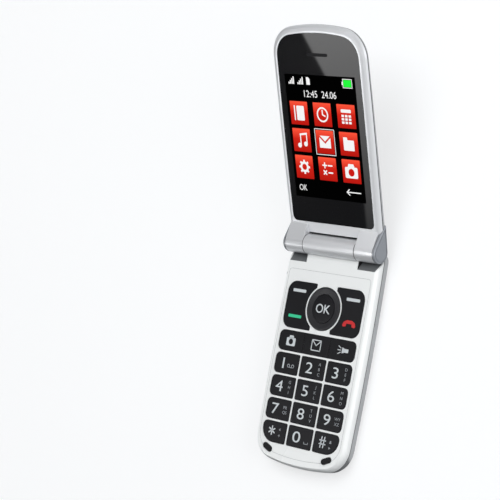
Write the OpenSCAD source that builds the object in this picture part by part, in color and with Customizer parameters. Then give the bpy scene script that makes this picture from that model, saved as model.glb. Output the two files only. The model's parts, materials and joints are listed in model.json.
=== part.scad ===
// Flip phone with large keys, open and lying on its back.
// Millimetres. +X is the phone's right, +Y runs from the free end of the base to the
// hinge, +Z is up. The origin is the middle of the base's back, on the surface it lies on.

/* [Overall] */
// Width of the phone
body_w = 57.2; // [54:0.2:60]
// Distance from the hinge axis to the free end of base and lid
reach = 103; // [101:0.5:106]
// Radius of the corners at the free end of the base
corner_r = 12.4; // [10.5:0.1:14]
// Radius of the corners at the free end of the lid
lid_corner_r = 13.6; // [11:0.1:14.5]
// Radius of the shallow arc across the free end
crown_r = 110; // [80:5:160]
// How far the long sides bow outwards
side_bow = 0.4; // [0.2:0.1:0.6]
// How far the sides of the back shell bow outwards
foot_bow = 1; // [0.6:0.1:1.4]
// Thickness of the base
base_t = 9.2; // [9:0.1:11]
// Thickness of the lid
lid_t = 5.3; // [5.2:0.1:6.4]
// How much thinner the lid is at its free end
lid_taper = 0.8; // [0.3:0.1:0.9]
// Gap between the two faces when the phone is closed
face_gap = 1; // [0.9:0.1:1.6]
// Angle between the closed and the open lid
open_angle = 156.4; // [140:0.2:160]

/* [Hinge] */
// Radius of the hinge barrel and of the knuckles beside it
knuckle_r = 4.8; // [4.6:0.1:5]
// Length of the barrel on the base
barrel_l = 31.7; // [26:0.1:36]
// Height of the hinge axis over the face of the base
axis_rise = 0.3; // [0.1:0.1:0.6]
// Distance from the axis to where a knuckle's ramp meets the lid's face
ramp_l = 9.6; // [9:0.1:10.2]
// Distance from the axis to the point of the teardrop end caps
cap_l = 12; // [11:0.2:13]
// Thickness of an end cap
cap_t = 1.5; // [1:0.1:1.8]
// How far the base runs on behind the hinge axis
heel = 1; // [0.5:0.1:1.2]
// Radius of the bore through barrel and knuckles
hinge_bore_r = 3.05; // [2.8:0.05:3.3]
// Diameter of the wire of the hinge spring
spring_wire = 0.5; // [0.4:0.05:0.6]
// Running gap between barrel and knuckles
run_gap = 0.25; // [0.15:0.05:0.4]
// Room between the lid and the turning barrel
sweep_gap = 0.4; // [0.3:0.05:0.6]

/* [Casing] */
// Thickness of the side walls of both shells
wall = 1.3; // [1.1:0.1:1.5]
// Thickness of the battery cover and of the outer skins
skin = 1.2; // [1:0.1:1.4]
// Height of the seam between the back shell and the front housing
seam_z = 5.2; // [5:0.1:5.4]
// How far the face of the base lies in from its sides
base_shoulder = 1.9; // [1.4:0.1:2.4]
// How far the face of the lid lies in from its sides
lid_shoulder = 2.5; // [2.2:0.1:2.8]
// Rounding of the back edges, measured inwards
back_round = 3.6; // [3:0.1:4]
// Rounding of the lid's outer edge, measured inwards
lid_round = 3.4; // [2.6:0.1:3.6]
// Clearance where casing parts meet
fit_gap = 0.1; // [0.05:0.01:0.15]
// Distance from the hinge axis to the split between back shell and battery cover
cover_split = 32; // [30:0.5:34]

/* [Keypad] */
// Thickness of the keypad panel
panel_t = 1; // [0.8:0.1:1.2]
// Height of the keys over the panel
key_rise = 0.4; // [0.3:0.05:0.5]
// Travel of a key
key_travel = 0.4; // [0.3:0.05:0.45]
// Width of the channels between the keys
channel = 1.15; // [1:0.05:1.4]
// Height of the strip with the three function keys
strip_h = 9.5; // [9:0.1:9.6]
// Room on the panel above the side rockers
nav_drop = 5.6; // [5.2:0.1:6]
// Outer radius of the navigation ring
nav_r = 10; // [9.6:0.1:10.2]
// Radius of the middle key
ok_r = 6.6; // [6:0.1:7]
// Height of the two side rockers
rocker_h = 21.9; // [21:0.1:22]
// Tilt of the side rockers and of the navigation ring
tilt = 1; // [0.6:0.1:1]
// Clearance round a key
key_gap = 0.12; // [0.1:0.01:0.15]

/* [Display] */
// Distance from the hinge axis to the lower edge of the picture
screen_l = 22.5; // [22:0.1:24]
// Thickness of the display window
window_t = 0.8; // [0.6:0.1:1]
// Width of the lid's rim round the window
rim = 0.8; // [0.6:0.1:1.2]
// Distance from the hinge axis to the lower edge of the window
window_l = 10.6; // [10.2:0.1:11.5]
// Length of the earpiece slot
earpiece_w = 12.6; // [10:0.2:14]

/* [Inside] */
// Thickness of the circuit boards
board_t = 0.8; // [0.6:0.1:0.8]
// Radius of the headset socket's bore
jack_r = 1.8; // [1.7:0.05:1.9]

/* [Hidden] */
$fn = 48;
eps = 0.01;

// How far the sides of a plan bow out, the radius of its corners at the free end and that
// of its corners at the hinge end
$bow = side_bow;
$corner = corner_r;
$heel_r = 0;

// Places of the hinge axis, in the phone's own frame
hinge_y = (reach - heel) / 2;
hinge_z = base_t + axis_rise;
half_w = body_w / 2;

// Levels in the base, counted from its back
panel_z = base_t - panel_t;
key_top = base_t + key_rise;
flange_t = 0.45;
flange_w = 0.32;
key_foot = panel_z - fit_gap - flange_t;
stop_gap = 0.1;
mat_top = key_foot - key_travel - stop_gap;
mat_t = 0.5;
mat_z = mat_top - mat_t;
dome_t = 0.2;
dome_z = mat_z - dome_t;
board_z = dome_z - board_t;
battery_z = skin + 0.15;
battery_t = board_z - 0.3 - battery_z;
ledge_z = panel_z - 0.7;
ledge_w = 0.5;

// Levels in the lid, counted from the hinge axis towards the lid's back
lid_face = face_gap - axis_rise;
lid_back = lid_face + lid_t;
lid_seam = lid_face + lid_t / 2;
lid_face_tip = 1.12 * lid_shoulder;
window_side = lid_shoulder + rim;
window_tip = lid_face_tip + 0.95 * rim;
window_z = lid_face + window_t;
lcd_z = window_z + 0.05;
lcd_t = 1.4;
lid_board_z = lcd_z + lcd_t + 0.2;
lid_board_t = 0.5;

// Plan of the keypad
panel_inset = 3.1;
panel_tip = panel_inset + 0.9;
panel_top = ramp_l + 2.7;
key_edge = half_w - 4.75;
column_pitch = 0.6893 * key_edge;
nav_l = panel_top + nav_drop + rocker_h / 2;
strip_l = nav_l + rocker_h / 2 + 1.35 + strip_h / 2;
digits_top = strip_l + strip_h / 2 + channel / 2;
keys_end = reach - 9.4;
row_pitch = (keys_end + channel / 2 - digits_top) / 4;
outer_key_r = 2.3;
inner_key_r = 0.7;
corner_key_r = 7;
key_bevel = 0.3;
ring_gap = 1.1;
rocker_in = 6.3;
nav_hole_gap = 0.25;

// Plan of the display and of the earpiece
screen_w = body_w - 14;
screen_h = reach - screen_l - 22.9;
earpiece_l = reach - 13.6;

// Plan of the compartment under the battery cover
battery_w = body_w - 21.2;
battery_l = reach - 57;
well_w = battery_w + 0.6;
well_end = reach - 8.2;
well_top = cover_split + 1.2;
battery_top = well_end - 0.3 - battery_l;

// Plan of the hinge
barrel_end = barrel_l / 2;
knuckle_in = barrel_end + run_gap;
knuckle_out = half_w - cap_t - 0.15;
notch_gap = 0.5;
heel_corner_r = 4;

// Ports on the left side
jack_body_r = jack_r + 0.3;
jack_l = panel_top + nav_drop - jack_body_r - 0.85;
jack_z = panel_z - jack_body_r - 0.1;
jack_in = half_w - 14.6;
usb_w = 7.5;
usb_h = 2.6;
usb_d = 4.9;
usb_l = jack_l + jack_body_r + 1.8 + usb_w / 2;
usb_z = board_z - usb_h - 0.05;
socket_x = -half_w + 0.8;

// Things on the back, above the battery cover
camera_l = 17.5;
camera_r = 3.6;
torch_x = 8.2;
speaker_at = [-half_w + 12.8, -22.8];
speaker_r = 6.5;
screw_x = half_w - 5.4;
screw_l = cover_split - 2.8;
low_screw_x = half_w - 7.2;
low_screw_l = reach - 13.5;
screws_at = [[screw_x, -screw_l], [-screw_x, -screw_l], [low_screw_x, -low_screw_l],
    [-low_screw_x, -low_screw_l]];
screw_r = 0.9;
head_r = 2 * screw_r;
head_t = 0.7;
boss_r = 1.9;

// ---- outlines -----------------------------------------------------------------------

// Centre that lies r1 from c1 and r2 from c2, on the lower right side
function meet(c1, r1, c2, r2) =
    let (d = norm(c2 - c1), u = (c2 - c1) / d, a = (d * d + r1 * r1 - r2 * r2) / (2 * d))
    c1 + a * u + sqrt(r1 * r1 - a * a) * [u[1], -u[0]];

function arc(c, r, from, to, steps) =
    [for (k = [0:steps]) let (a = from + (to - from) * k / steps) c + r * [cos(a), sin(a)]];

// Right half of a plan: corner at the hinge end, bowed side, round corner, crowned end
function half_plan(hw, tip, corner, crown, top) =
    let (
        span = tip / 2,
        side_r = span * span / (2 * $bow),
        side_c = [hw - side_r, -tip / 2],
        crown_c = [0, crown - tip],
        corner_c = meet(side_c, side_r - corner, crown_c, crown - corner),
        a0 = asin((top - $heel_r - side_c[1]) / side_r),
        heel_c = side_c + (side_r - $heel_r) * [cos(a0), sin(a0)],
        a1 = atan2(corner_c[1] - side_c[1], corner_c[0] - side_c[0]),
        a2 = atan2(corner_c[1] - crown_c[1], corner_c[0] - crown_c[0])
    )
    concat($heel_r > 0 ? [for (p = [0:4]) arc(heel_c, $heel_r, 90, a0, 5)[p]] : [],
        arc(side_c, side_r, a0, a1, 6),
        [for (p = [1:14]) arc(corner_c, corner, a1, a2, 14)[p]],
        [for (p = [1:5]) arc(crown_c, crown, a2, -90, 5)[p]]);

function mirrored(half) =
    concat(half, [for (k = [len(half) - 2:-1:0]) [-half[k][0], half[k][1]]]);

// Plan of the casing, drawn in by side at the sides and by tip at the free end
module plan(side = 0, tip = 0, top = 0) {
    polygon(mirrored(half_plan(half_w - side, reach - tip, $corner - side,
        crown_r - side, top)));
}

module plate(z0, z1, side = 0, tip = 0, top = 0) {
    translate([0, 0, z0]) linear_extrude(z1 - z0) plan(side, tip, top);
}

// Plate that follows the bow of the back shell
module foot_plate(z0, z1, side = 0, tip = 0, top = 0) {
    let ($bow = foot_bow) plate(z0, z1, side, tip, top);
}

// Rounded rectangle with its own radius at each corner: lower left, then anticlockwise
module rounded(x0, y0, x1, y1, r, steps = 6) {
    polygon(concat(
        arc([x0 + r[0], y0 + r[0]], r[0], 180, 270, steps),
        arc([x1 - r[1], y0 + r[1]], r[1], 270, 360, steps),
        arc([x1 - r[2], y1 - r[2]], r[2], 0, 90, steps),
        arc([x0 + r[3], y1 - r[3]], r[3], 90, 180, steps)));
}

module box(x0, y0, z0, x1, y1, z1) {
    translate([x0, y0, z0]) cube([x1 - x0, y1 - y0, z1 - z0]);
}

// Round bar along X
module bar(r, x0, x1) {
    translate([x0, 0, 0]) rotate([0, 90, 0]) cylinder(r = r, h = x1 - x0);
}

// Side view profile, drawn in Y and Z, pushed out from x0 to x1
module side_profile(x0, x1) {
    translate([x0, 0, 0]) rotate([90, 0, 90]) linear_extrude(x1 - x0) children();
}

// ---- frames -------------------------------------------------------------------------

// Base parts are drawn from the hinge end: y = 0 on the hinge axis, z = 0 on the back
module in_base() {
    translate([0, hinge_y, 0]) children();
}

// Parts that turn round the axis are drawn in the closed phone, from the hinge axis
module on_axis() {
    translate([0, hinge_y, hinge_z]) children();
}

module in_lid() {
    on_axis() rotate([-open_angle, 0, 0]) let ($corner = lid_corner_r) children();
}

module both_sides() {
    children();
    mirror([1, 0, 0]) children();
}

// ---- forms that more than one part uses ---------------------------------------------

// Lower half of the base: rounded along its back edge
module base_lower(top, height = seam_z) {
    steps = 5;
    rise = back_round * 1.1;
    let ($heel_r = heel_corner_r) hull() {
        for (k = [0:steps]) {
            a = 90 * k / steps;
            side = back_round * (1 - sin(a));
            z = rise * (1 - cos(a));
            foot_plate(z, z + eps, side, side * 0.9, top - side / 2);
        }
        foot_plate(height - eps, height, 0, 0, top);
    }
}

// Room inside the lower half of the base, cut across along its back edge
module base_room(gap, floor_z, top) {
    hull() {
        foot_plate(floor_z, floor_z + eps, wall + 1.2 + gap, wall + 1.2 + gap, 0);
        foot_plate(skin + 1.8, top, wall + gap, wall + gap, 0);
    }
}

// Upper half of the base: its wall leans in to the face
module base_upper(top) {
    steps = 4;
    lean = 60;
    foot = base_t - 3.6;
    hull() {
        foot_plate(seam_z, seam_z + eps, 0, 0, top);
        for (k = [0:steps]) {
            a = lean * k / steps;
            side = base_shoulder * (1 - cos(a)) / (1 - cos(lean));
            z = foot + (base_t - foot) * sin(a) / sin(lean);
            let ($bow = foot_bow + (side_bow - foot_bow) * k / steps)
                plate(z - eps, z, side, side * 0.7, top);
        }
    }
}

// Level of the lid: it lies flat at the lid's face and slopes more towards the lid's back
module lid_level(z, side, tip, top) {
    rotate([atan(lid_taper / reach) * (z - lid_face) / lid_t, 0, 0])
        plate(z - eps, z, side, tip, top);
}

// Front of the lid: its wall leans in to the lid's face
module lid_lower(top) {
    steps = 3;
    hull() {
        lid_level(lid_seam, 0, 0, top);
        for (k = [0:steps]) {
            a = 75 * k / steps;
            side = lid_shoulder * (1 - cos(a)) / (1 - cos(75));
            z = lid_seam - 0.5 - (lid_seam - 0.5 - lid_face) * sin(a) / sin(75);
            lid_level(z + eps, side, side * lid_face_tip / lid_shoulder, top);
        }
    }
}

// Back of the lid: a pebble that rounds over to a flat back
module lid_upper(top) {
    steps = 5;
    hull() {
        for (k = [0:steps]) {
            a = 90 * k / steps;
            side = lid_round * (1 - cos(a));
            z = lid_seam + 0.02 + (lid_back - lid_seam - 0.02) * sin(a);
            lid_level(z, side, side, top - side * 0.25);
        }
    }
}

// Point of a circle round the axis where a line from p touches it
function touch(p, r, side) =
    let (a = atan2(p[1], p[0]) + side * acos(r / norm(p))) r * [cos(a), sin(a)];

// Ramp of a knuckle, from the lid's face down to the barrel line
module ramp_profile(grow = 0) {
    foot = [-ramp_l - grow, lid_face];
    r = knuckle_r + grow;
    low = touch(foot, r, 1);
    high = lid_seam - 0.1;
    polygon([low, [0, 0], [0, lid_face], [0, high], [-ramp_l - grow, high], foot]);
}

// Teardrop of the end caps, with its point on the lid's back edge
module teardrop(grow = 0) {
    r = knuckle_r + grow;
    tip_r = 0.5 + grow;
    tip = [-cap_l + 0.5, lid_back - 1.2];
    a = atan2(tip[1], tip[0]);
    spread = acos((r - tip_r) / norm(tip));
    polygon(concat(arc([0, 0], r, a + spread, a - spread + 360, 30),
        arc(tip, tip_r, a - spread, a + spread, 5)));
}

// Room that the end caps take out of the lid's casing
module cap_room() {
    both_sides() side_profile(knuckle_out, half_w + 1) teardrop(fit_gap);
}

// ---- keys ---------------------------------------------------------------------------

// The key shapes are drawn out on all sides by $grow
$grow = 0;

// Columns count -1, 0, 1 and rows 0 to 3 from the top
module digit_shape(column, row) {
    inner = column_pitch / 2 - channel / 2 + $grow;
    outer = column_pitch / 2 + channel / 2 - $grow;
    edge = key_edge + $grow;
    x0 = column < 0 ? -edge : (column > 0 ? outer : -inner);
    x1 = column < 0 ? -outer : (column > 0 ? edge : inner);
    y1 = -digits_top - row * row_pitch - channel / 2 + $grow;
    y0 = -digits_top - (row + 1) * row_pitch + channel / 2 - $grow;
    low_r = row == 3 ? corner_key_r : outer_key_r;
    left_r = column < 0 ? [low_r, outer_key_r] : [inner_key_r, inner_key_r];
    right_r = column > 0 ? [low_r, outer_key_r] : [inner_key_r, inner_key_r];
    rounded(x0, y0, x1, y1, [left_r[0] + $grow, right_r[0] + $grow, right_r[1] + $grow,
        left_r[1] + $grow]);
}

module function_shape(column) {
    third = key_edge * 2 / 3;
    split = key_gap / 2 - $grow;
    x0 = -key_edge + third * (column + 1) + (column < 0 ? -$grow : split);
    x1 = -key_edge + third * (column + 2) - (column > 0 ? -$grow : split);
    left_r = column < 0 ? outer_key_r + 0.4 + $grow : 0.1;
    right_r = column > 0 ? outer_key_r + 0.4 + $grow : 0.1;
    y = strip_h / 2 + $grow;
    rounded(x0, -strip_l - y, x1, -strip_l + y, [left_r, right_r, right_r, left_r]);
}

module rocker_block(side) {
    y = rocker_h / 2 + $grow;
    x0 = side > 0 ? rocker_in - $grow : -key_edge - $grow;
    x1 = side > 0 ? key_edge + $grow : -rocker_in + $grow;
    small = 0.7;
    radii = side > 0 ? [small, 4.4, 5, small] : [4.4, small, small, 5];
    rounded(x0, -nav_l - y, x1, -nav_l + y, radii, 8);
}

module rocker_shape(side) {
    difference() {
        rocker_block(side);
        translate([0, -nav_l]) circle(nav_r + ring_gap - $grow, $fn = 96);
    }
}

// Straight sides with a bevel round the top
module key_cap(foot) {
    translate([0, 0, foot]) linear_extrude(key_top - key_bevel - foot) children();
    hull() {
        translate([0, 0, key_top - key_bevel]) linear_extrude(eps) children();
        translate([0, 0, key_top - eps]) linear_extrude(eps)
            let ($grow = -key_bevel) children();
    }
}

// Thin flange that keeps a key under the panel
module key_flange(foot) {
    translate([0, 0, foot]) linear_extrude(flange_t) let ($grow = flange_w) children();
}

module digit_key(column, row) {
    color("#1f2023") in_base() {
        key_cap(key_foot) digit_shape(column, row);
        key_flange(key_foot) digit_shape(column, row);
    }
}

// Function keys share one opening, so their flanges lie above and below only
module function_key(column) {
    third = key_edge * 2 / 3;
    x = column * third;
    y = strip_h / 2 + flange_w;
    color("#1f2023") in_base() {
        key_cap(key_foot) function_shape(column);
        box(x - third / 2 + 3, -strip_l - y, key_foot, x + third / 2 - 3, -strip_l + y,
            key_foot + flange_t);
    }
}

rocker_rib_r = 0.3;

// Rockers sit lower, so that their ends have room to rise. A round rib is their pivot
module side_rocker(side) {
    foot = key_foot - (rocker_h / 2 + flange_w) * sin(tilt);
    mid = (key_edge + rocker_in + 4) / 2 * side;
    edge_r = nav_r + ring_gap;
    color("#1f2023") in_base() {
        difference() {
            key_cap(foot) rocker_block(side);
            translate([0, -nav_l, foot - 1]) cylinder(r = edge_r, h = 4, $fn = 96);
            translate([0, -nav_l, key_top - key_bevel])
                cylinder(r1 = edge_r, r2 = edge_r + 2 * key_bevel, h = 2 * key_bevel, $fn = 96);
        }
        key_flange(foot) rocker_shape(side);
        translate([0, -nav_l, mat_top + 0.05 + rocker_rib_r])
            bar(rocker_rib_r, mid - 4, mid + 4, $fn = 24);
    }
}

module key_0() { digit_key(0, 3); }
module key_1() { digit_key(-1, 0); }
module key_2() { digit_key(0, 0); }
module key_3() { digit_key(1, 0); }
module key_4() { digit_key(-1, 1); }
module key_5() { digit_key(0, 1); }
module key_6() { digit_key(1, 1); }
module key_7() { digit_key(-1, 2); }
module key_8() { digit_key(0, 2); }
module key_9() { digit_key(1, 2); }
module key_star() { digit_key(-1, 3); }
module key_hash() { digit_key(1, 3); }
module key_camera() { function_key(-1); }
module key_message() { function_key(0); }
module key_torch() { function_key(1); }
module rocker_left() { side_rocker(-1); }
module rocker_right() { side_rocker(1); }

nav_pad_r = nav_r + 0.5;
nav_swing = nav_pad_r * sin(tilt) + 0.02;
nav_pad_z = mat_top + nav_swing;
nav_pad_t = 0.25;
nav_ring_z = nav_pad_z + nav_pad_t + nav_swing;
nav_slope = 0.35;
nav_rib_r = 0.2;

// Rocker plate under the ring, on its two round pivot ribs
module nav_pad() {
    color("#8b8d90") in_base() translate([0, -nav_l, 0]) {
        difference() {
            translate([0, 0, nav_pad_z]) cylinder(r = nav_pad_r, h = nav_pad_t);
            translate([0, 0, nav_pad_z - 1]) cylinder(r = ok_r + flange_w + 0.3, h = 3);
        }
        both_sides() translate([0, 0, mat_top + 0.05 + nav_rib_r])
            bar(nav_rib_r, ok_r + 0.8, nav_r, $fn = 24);
    }
}

// Ring with a dished top
module nav_ring() {
    inner = ok_r + 0.2;
    color("#36373b") in_base() translate([0, -nav_l, 0]) {
        rotate_extrude($fn = 96) polygon([
            [inner, nav_ring_z], [nav_r, nav_ring_z], [nav_r, key_top - 0.15],
            [nav_r - 0.25, key_top + 0.05], [nav_r - 0.7, key_top + 0.1],
            [inner + 0.2, key_top - nav_slope + 0.1], [inner, key_top - nav_slope]
        ]);
        for (side = [-1, 1]) {
            translate([0, side * (nav_r - 1.1) - 1, nav_pad_z + nav_pad_t + 0.05 + nav_rib_r])
                rotate([-90, 0, 0]) cylinder(r = nav_rib_r, h = 2, $fn = 24);
        }
    }
}

// Middle key, with a low dome
module ok_key() {
    dome = 0.3;
    dome_r = (ok_r * ok_r + dome * dome) / (2 * dome);
    half = asin(ok_r / dome_r);
    top = key_top + 0.05;
    color("#1c1d20") in_base() translate([0, -nav_l, 0])
        rotate_extrude($fn = 96) polygon(concat([[0, key_foot], [ok_r, key_foot]],
            arc([0, top - dome_r], dome_r, 90 - half, 90, 6)));
}

// ---- base casing --------------------------------------------------------------------

module screw_holes(z0, z1, r) {
    for (p = screws_at) {
        translate([p[0], p[1], z0]) cylinder(r = r, h = z1 - z0, $fn = 24);
    }
}

// Silver back shell: closed near the hinge, a tray round the battery well below it
module base_back_shell() {
    color("#c3c5c8") in_base() difference() {
        union() {
            intersection() {
                base_lower(heel);
                box(-half_w - 1, -cover_split, -1, half_w + 1, heel + 1, seam_z);
            }
            intersection() {
                base_room(fit_gap + 0.05, skin + fit_gap + 0.05, seam_z);
                box(-half_w, -reach, 0, half_w, -cover_split + 2, seam_z);
            }
        }
        difference() {
            intersection() {
                base_room(0.4, skin, seam_z + 1);
                union() {
                    box(-half_w, -cover_split + 1.6, 0, half_w, -ramp_l - 1.4, seam_z + 1);
                    box(-half_w, -ramp_l - 1.5, 0, half_w, heel - 2.2,
                        hinge_z - knuckle_r - notch_gap - 1.1);
                }
            }
            shell_posts();
        }
        difference() {
            foot_plate(skin + 1.4, seam_z + 1, wall + 1.6, wall + 1.6, -cover_split - 2.2);
            box(-well_w / 2 - 1, -well_end - 1, 0, well_w / 2 + 1, 0, seam_z + 2);
            shell_posts();
        }
        box(-well_w / 2, -well_end, -1, well_w / 2, -well_top, seam_z + 1);
        translate([0, -camera_l, -1]) cylinder(r = camera_r - 0.9, h = 4);
        translate([0, -camera_l, -eps]) cylinder(r = camera_r + 0.05, h = 0.9);
        translate([torch_x, -camera_l, -1]) cylinder(r = 1.55, h = 4);
        speaker_slots();
        hinge_room();
        socket_openings();
        screw_holes(-1, seam_z + 1, screw_r + 0.1);
        for (p = screws_at) {
            translate([p[0], p[1], -1])
                cylinder(r = head_r + 0.15, h = 1 + head_z(p) + head_t, $fn = 32);
        }
    }
}

// Posts of the back shell round the screws
module shell_posts() {
    for (p = screws_at) {
        translate([p[0], p[1], 0]) cylinder(r = boss_r + 0.3, h = seam_z + 2, $fn = 32);
    }
}

// Openings for the two sockets in the left wall, across the seam
module socket_openings() {
    translate([-half_w - 1, -jack_l, jack_z]) rotate([0, 90, 0])
        cylinder(r = jack_body_r + 0.05, h = 5);
    box(-half_w - 1, -usb_l - usb_w / 2 - 0.1, usb_z - 0.1, -half_w + 4,
        -usb_l + usb_w / 2 + 0.1, usb_z + usb_h + 0.1);
}

// Height of a screw's head: flush with the back, or with the frame under the cover
function head_z(p) = p[1] < -cover_split ? skin + 0.2 : 0.3;

// Five slots in front of the loudspeaker
module speaker_slots() {
    for (k = [-2:2]) {
        len = 9 - abs(k) * 1.4;
        translate([speaker_at[0] - len / 2, speaker_at[1] + k * 1.8 - 0.4, -1])
            cube([len, 0.8, skin + 2]);
    }
}

// Cover that slides off towards the free end, with a finger dimple
module battery_cover() {
    color("#c3c5c8") in_base() difference() {
        intersection() {
            base_lower(heel, seam_z - fit_gap);
            box(-half_w - 1, -reach - 1, -1, half_w + 1, -cover_split - fit_gap, seam_z);
        }
        base_room(0, skin, seam_z + 1);
        finger_dimple();
        for (k = [-1:1]) {
            box(-4, -cover_split - 5.2 + k * 1.8, -eps, 4, -cover_split - 4.6 + k * 1.8, 0.25);
        }
    }
}

// Shallow round hollow for the thumb, a cap of a large ball
module finger_dimple() {
    depth = 0.5;
    r = 7;
    ball = (r * r + depth * depth) / (2 * depth);
    half = asin(r / ball);
    translate([0, -reach + 16, 0]) rotate_extrude()
        polygon(concat([[0, -1], [r, -1]], arc([0, depth - ball], ball, 90 - half, 90, 5)));
}

// Notches that the knuckles and their ramps turn into, and the saddle of the barrel
module hinge_room() {
    translate([0, 0, hinge_z]) {
        both_sides() {
            bar(knuckle_r + notch_gap, barrel_end, half_w + 2);
            side_profile(barrel_end, half_w + 2) {
                ramp_profile(notch_gap);
                polygon([touch([-ramp_l - notch_gap, lid_face], knuckle_r + notch_gap, 1), [0, 0],
                    [knuckle_r + 2, 0], [knuckle_r + 2, -knuckle_r - notch_gap],
                    [0, -knuckle_r - notch_gap]]);
            }
        }
        bar(knuckle_r + 0.05, -barrel_end - eps, barrel_end + eps);
    }
}

// White front housing: side walls, shelf for the panel and the saddle of the barrel
module base_front_housing() {
    cavity_top = -ramp_l - 1.9;
    color("#e9ecec") in_base() difference() {
        union() {
            difference() {
                base_upper(heel);
                foot_plate(seam_z - 1, ledge_z, wall + 0.3, wall, cavity_top);
                plate(ledge_z - 1, panel_z, panel_inset + ledge_w, panel_tip + ledge_w,
                    -panel_top - ledge_w);
            }
            screw_bosses();
        }
        translate([0, 0, panel_z]) linear_extrude(panel_t + 1)
            offset(delta = fit_gap) panel_plan();
        hinge_room();
        box(-4.2, cavity_top - 1, flex_z - 0.3, 4.2, 0, flex_z + 0.5);
        socket_openings();
        screw_holes(seam_z - 1, board_z + 0.6, screw_r + 0.02);
        translate([0, -reach + 3, seam_z + 1.7]) rotate([90, 0, 0])
            cylinder(r = 0.5, h = 5, $fn = 24);
        bumper_shapes(base_t - 0.6, base_t + 1, 0.05);
    }
}

// Posts for the screws, tied to the side walls by ribs
module screw_bosses() {
    for (p = screws_at) {
        translate([p[0], p[1], seam_z])
            cylinder(r = boss_r, h = dome_z - seam_z - 0.05, $fn = 32);
    }
    boss_ribs(0);
}

module boss_ribs(gap) {
    for (p = screws_at) {
        out = half_w - wall;
        translate([min(p[0], sign(p[0]) * out), p[1] - 0.6 - gap, seam_z - gap])
            cube([out - abs(p[0]), 1.2 + 2 * gap, dome_z - seam_z - 0.05 + 2 * gap]);
    }
}

module panel_plan() {
    r = 1.6;
    offset(r, $fn = 32) offset(delta = -r) plan(panel_inset, panel_tip, -panel_top);
}

// Panel with an opening for each key
module keypad_panel() {
    color("#edf0f0") in_base() difference() {
        translate([0, 0, panel_z]) linear_extrude(panel_t) panel_plan();
        translate([0, 0, panel_z - 1]) linear_extrude(panel_t + 2) let ($grow = key_gap) {
            for (column = [-1:1], row = [0:3]) digit_shape(column, row);
            for (column = [-1:1]) function_shape(column);
            for (side = [-1, 1]) rocker_shape(side);
        }
        translate([0, -nav_l, panel_z - 1]) cylinder(r = nav_r + nav_hole_gap, h = 4);
        bumper_shapes(base_t - 0.6, base_t + 1, 0.05);
    }
}

// Oval rubber buffers that keep the faces apart
bumper_at = [18.5, 6.7];
bumper_r = 1.35;
module bumper_shapes(z0, z1, grow = 0) {
    both_sides() translate([bumper_at[0], -reach + bumper_at[1], z0])
        rotate([0, 0, 24]) linear_extrude(z1 - z0) hull() {
            translate([-1.6, 0]) circle(bumper_r + grow, $fn = 24);
            translate([1.6, 0]) circle(bumper_r + grow, $fn = 24);
        }
}

module rest_bumpers() {
    color("#262628") in_base() bumper_shapes(base_t - 0.6, base_t + face_gap * 0.55);
}

// ---- hinge --------------------------------------------------------------------------

flex_z = hinge_z - 2.6;
lid_flex_z = lid_face + 1.5;

// Barrel on the base, with a bore for the hinge cartridge and a slot for the flex
module hinge_barrel() {
    color("#d4d6d9") on_axis() difference() {
        bar(knuckle_r, -barrel_end, barrel_end);
        bar(hinge_bore_r, -barrel_end - 1, barrel_end + 1);
        box(-4, -knuckle_r - 1, flex_z - hinge_z, 4, -1.5, flex_z - hinge_z + 0.5);
    }
}

plug_l = 6;
cam_t = 1.2;
shaft_r = 0.9;
cartridge_r = hinge_bore_r - 0.05;
chamber_r = cartridge_r - 0.6;
chamber_out = knuckle_out - 1;

// Plug in the barrel, with the shaft and the cam that the spring presses on
module hinge_cam_shaft() {
    color("#9a9da1") on_axis() {
        bar(hinge_bore_r - 0.02, barrel_end - plug_l, barrel_end);
        bar(shaft_r, barrel_end - 0.5, chamber_out - 0.6);
        difference() {
            bar(chamber_r - 0.15, knuckle_in + 0.65, knuckle_in + 0.65 + cam_t);
            for (a = [0, 90]) rotate([a, 0, 0])
                box(knuckle_in + 0.65 + cam_t - 0.4, -0.45, -chamber_r,
                    knuckle_in + 2 + cam_t, 0.45, chamber_r);
        }
    }
}

// Hollow cartridge pressed into the right knuckle
module hinge_cartridge() {
    color("#b9bbbe") in_lid() difference() {
        bar(cartridge_r, knuckle_in + 0.05, knuckle_out - 0.2);
        bar(shaft_r + 0.05, knuckle_in - 1, knuckle_in + 2);
        bar(chamber_r, knuckle_in + 0.6, chamber_out);
    }
}

// Helical compression spring round the shaft, swept from its own formula
module hinge_spring() {
    turns = 5;
    sides = 6;
    steps = 14 * turns;
    r = (chamber_r - 0.1 + shaft_r + 0.1) / 2;
    w = min(spring_wire, chamber_r - shaft_r - 0.25) / 2;
    x0 = knuckle_in + 0.65 + cam_t + 0.1 + w;
    x1 = chamber_out - 0.1 - w;
    points = [for (s = [0:steps], k = [0:sides - 1])
        let (a = 360 * turns * s / steps, b = 360 * k / sides, q = r + w * cos(b))
        [x0 + (x1 - x0) * s / steps + w * sin(b), q * cos(a), q * sin(a)]];
    rings = [for (s = [0:steps - 1], k = [0:sides - 1])
        let (n = (k + 1) % sides, p = s * sides)
        [p + k, p + n, p + sides + n, p + sides + k]];
    ends = [[for (k = [sides - 1:-1:0]) k], [for (k = [0:sides - 1]) steps * sides + k]];
    color("#8e9093") in_lid() polyhedron(points, concat(rings, ends));
}

// Hollow pivot in the left knuckle, which turns in the barrel and passes the flex
module hinge_pivot_sleeve() {
    color("#b9bbbe") in_lid() difference() {
        bar(cartridge_r, -knuckle_out + 0.2, -barrel_end + 4);
        bar(chamber_r, -knuckle_out - 1, -barrel_end + 5);
        box(-knuckle_out + 1.5, -knuckle_r, lid_flex_z - 0.4, -knuckle_in - 1.5, -0.4,
            lid_flex_z + 0.6);
    }
}

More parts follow.
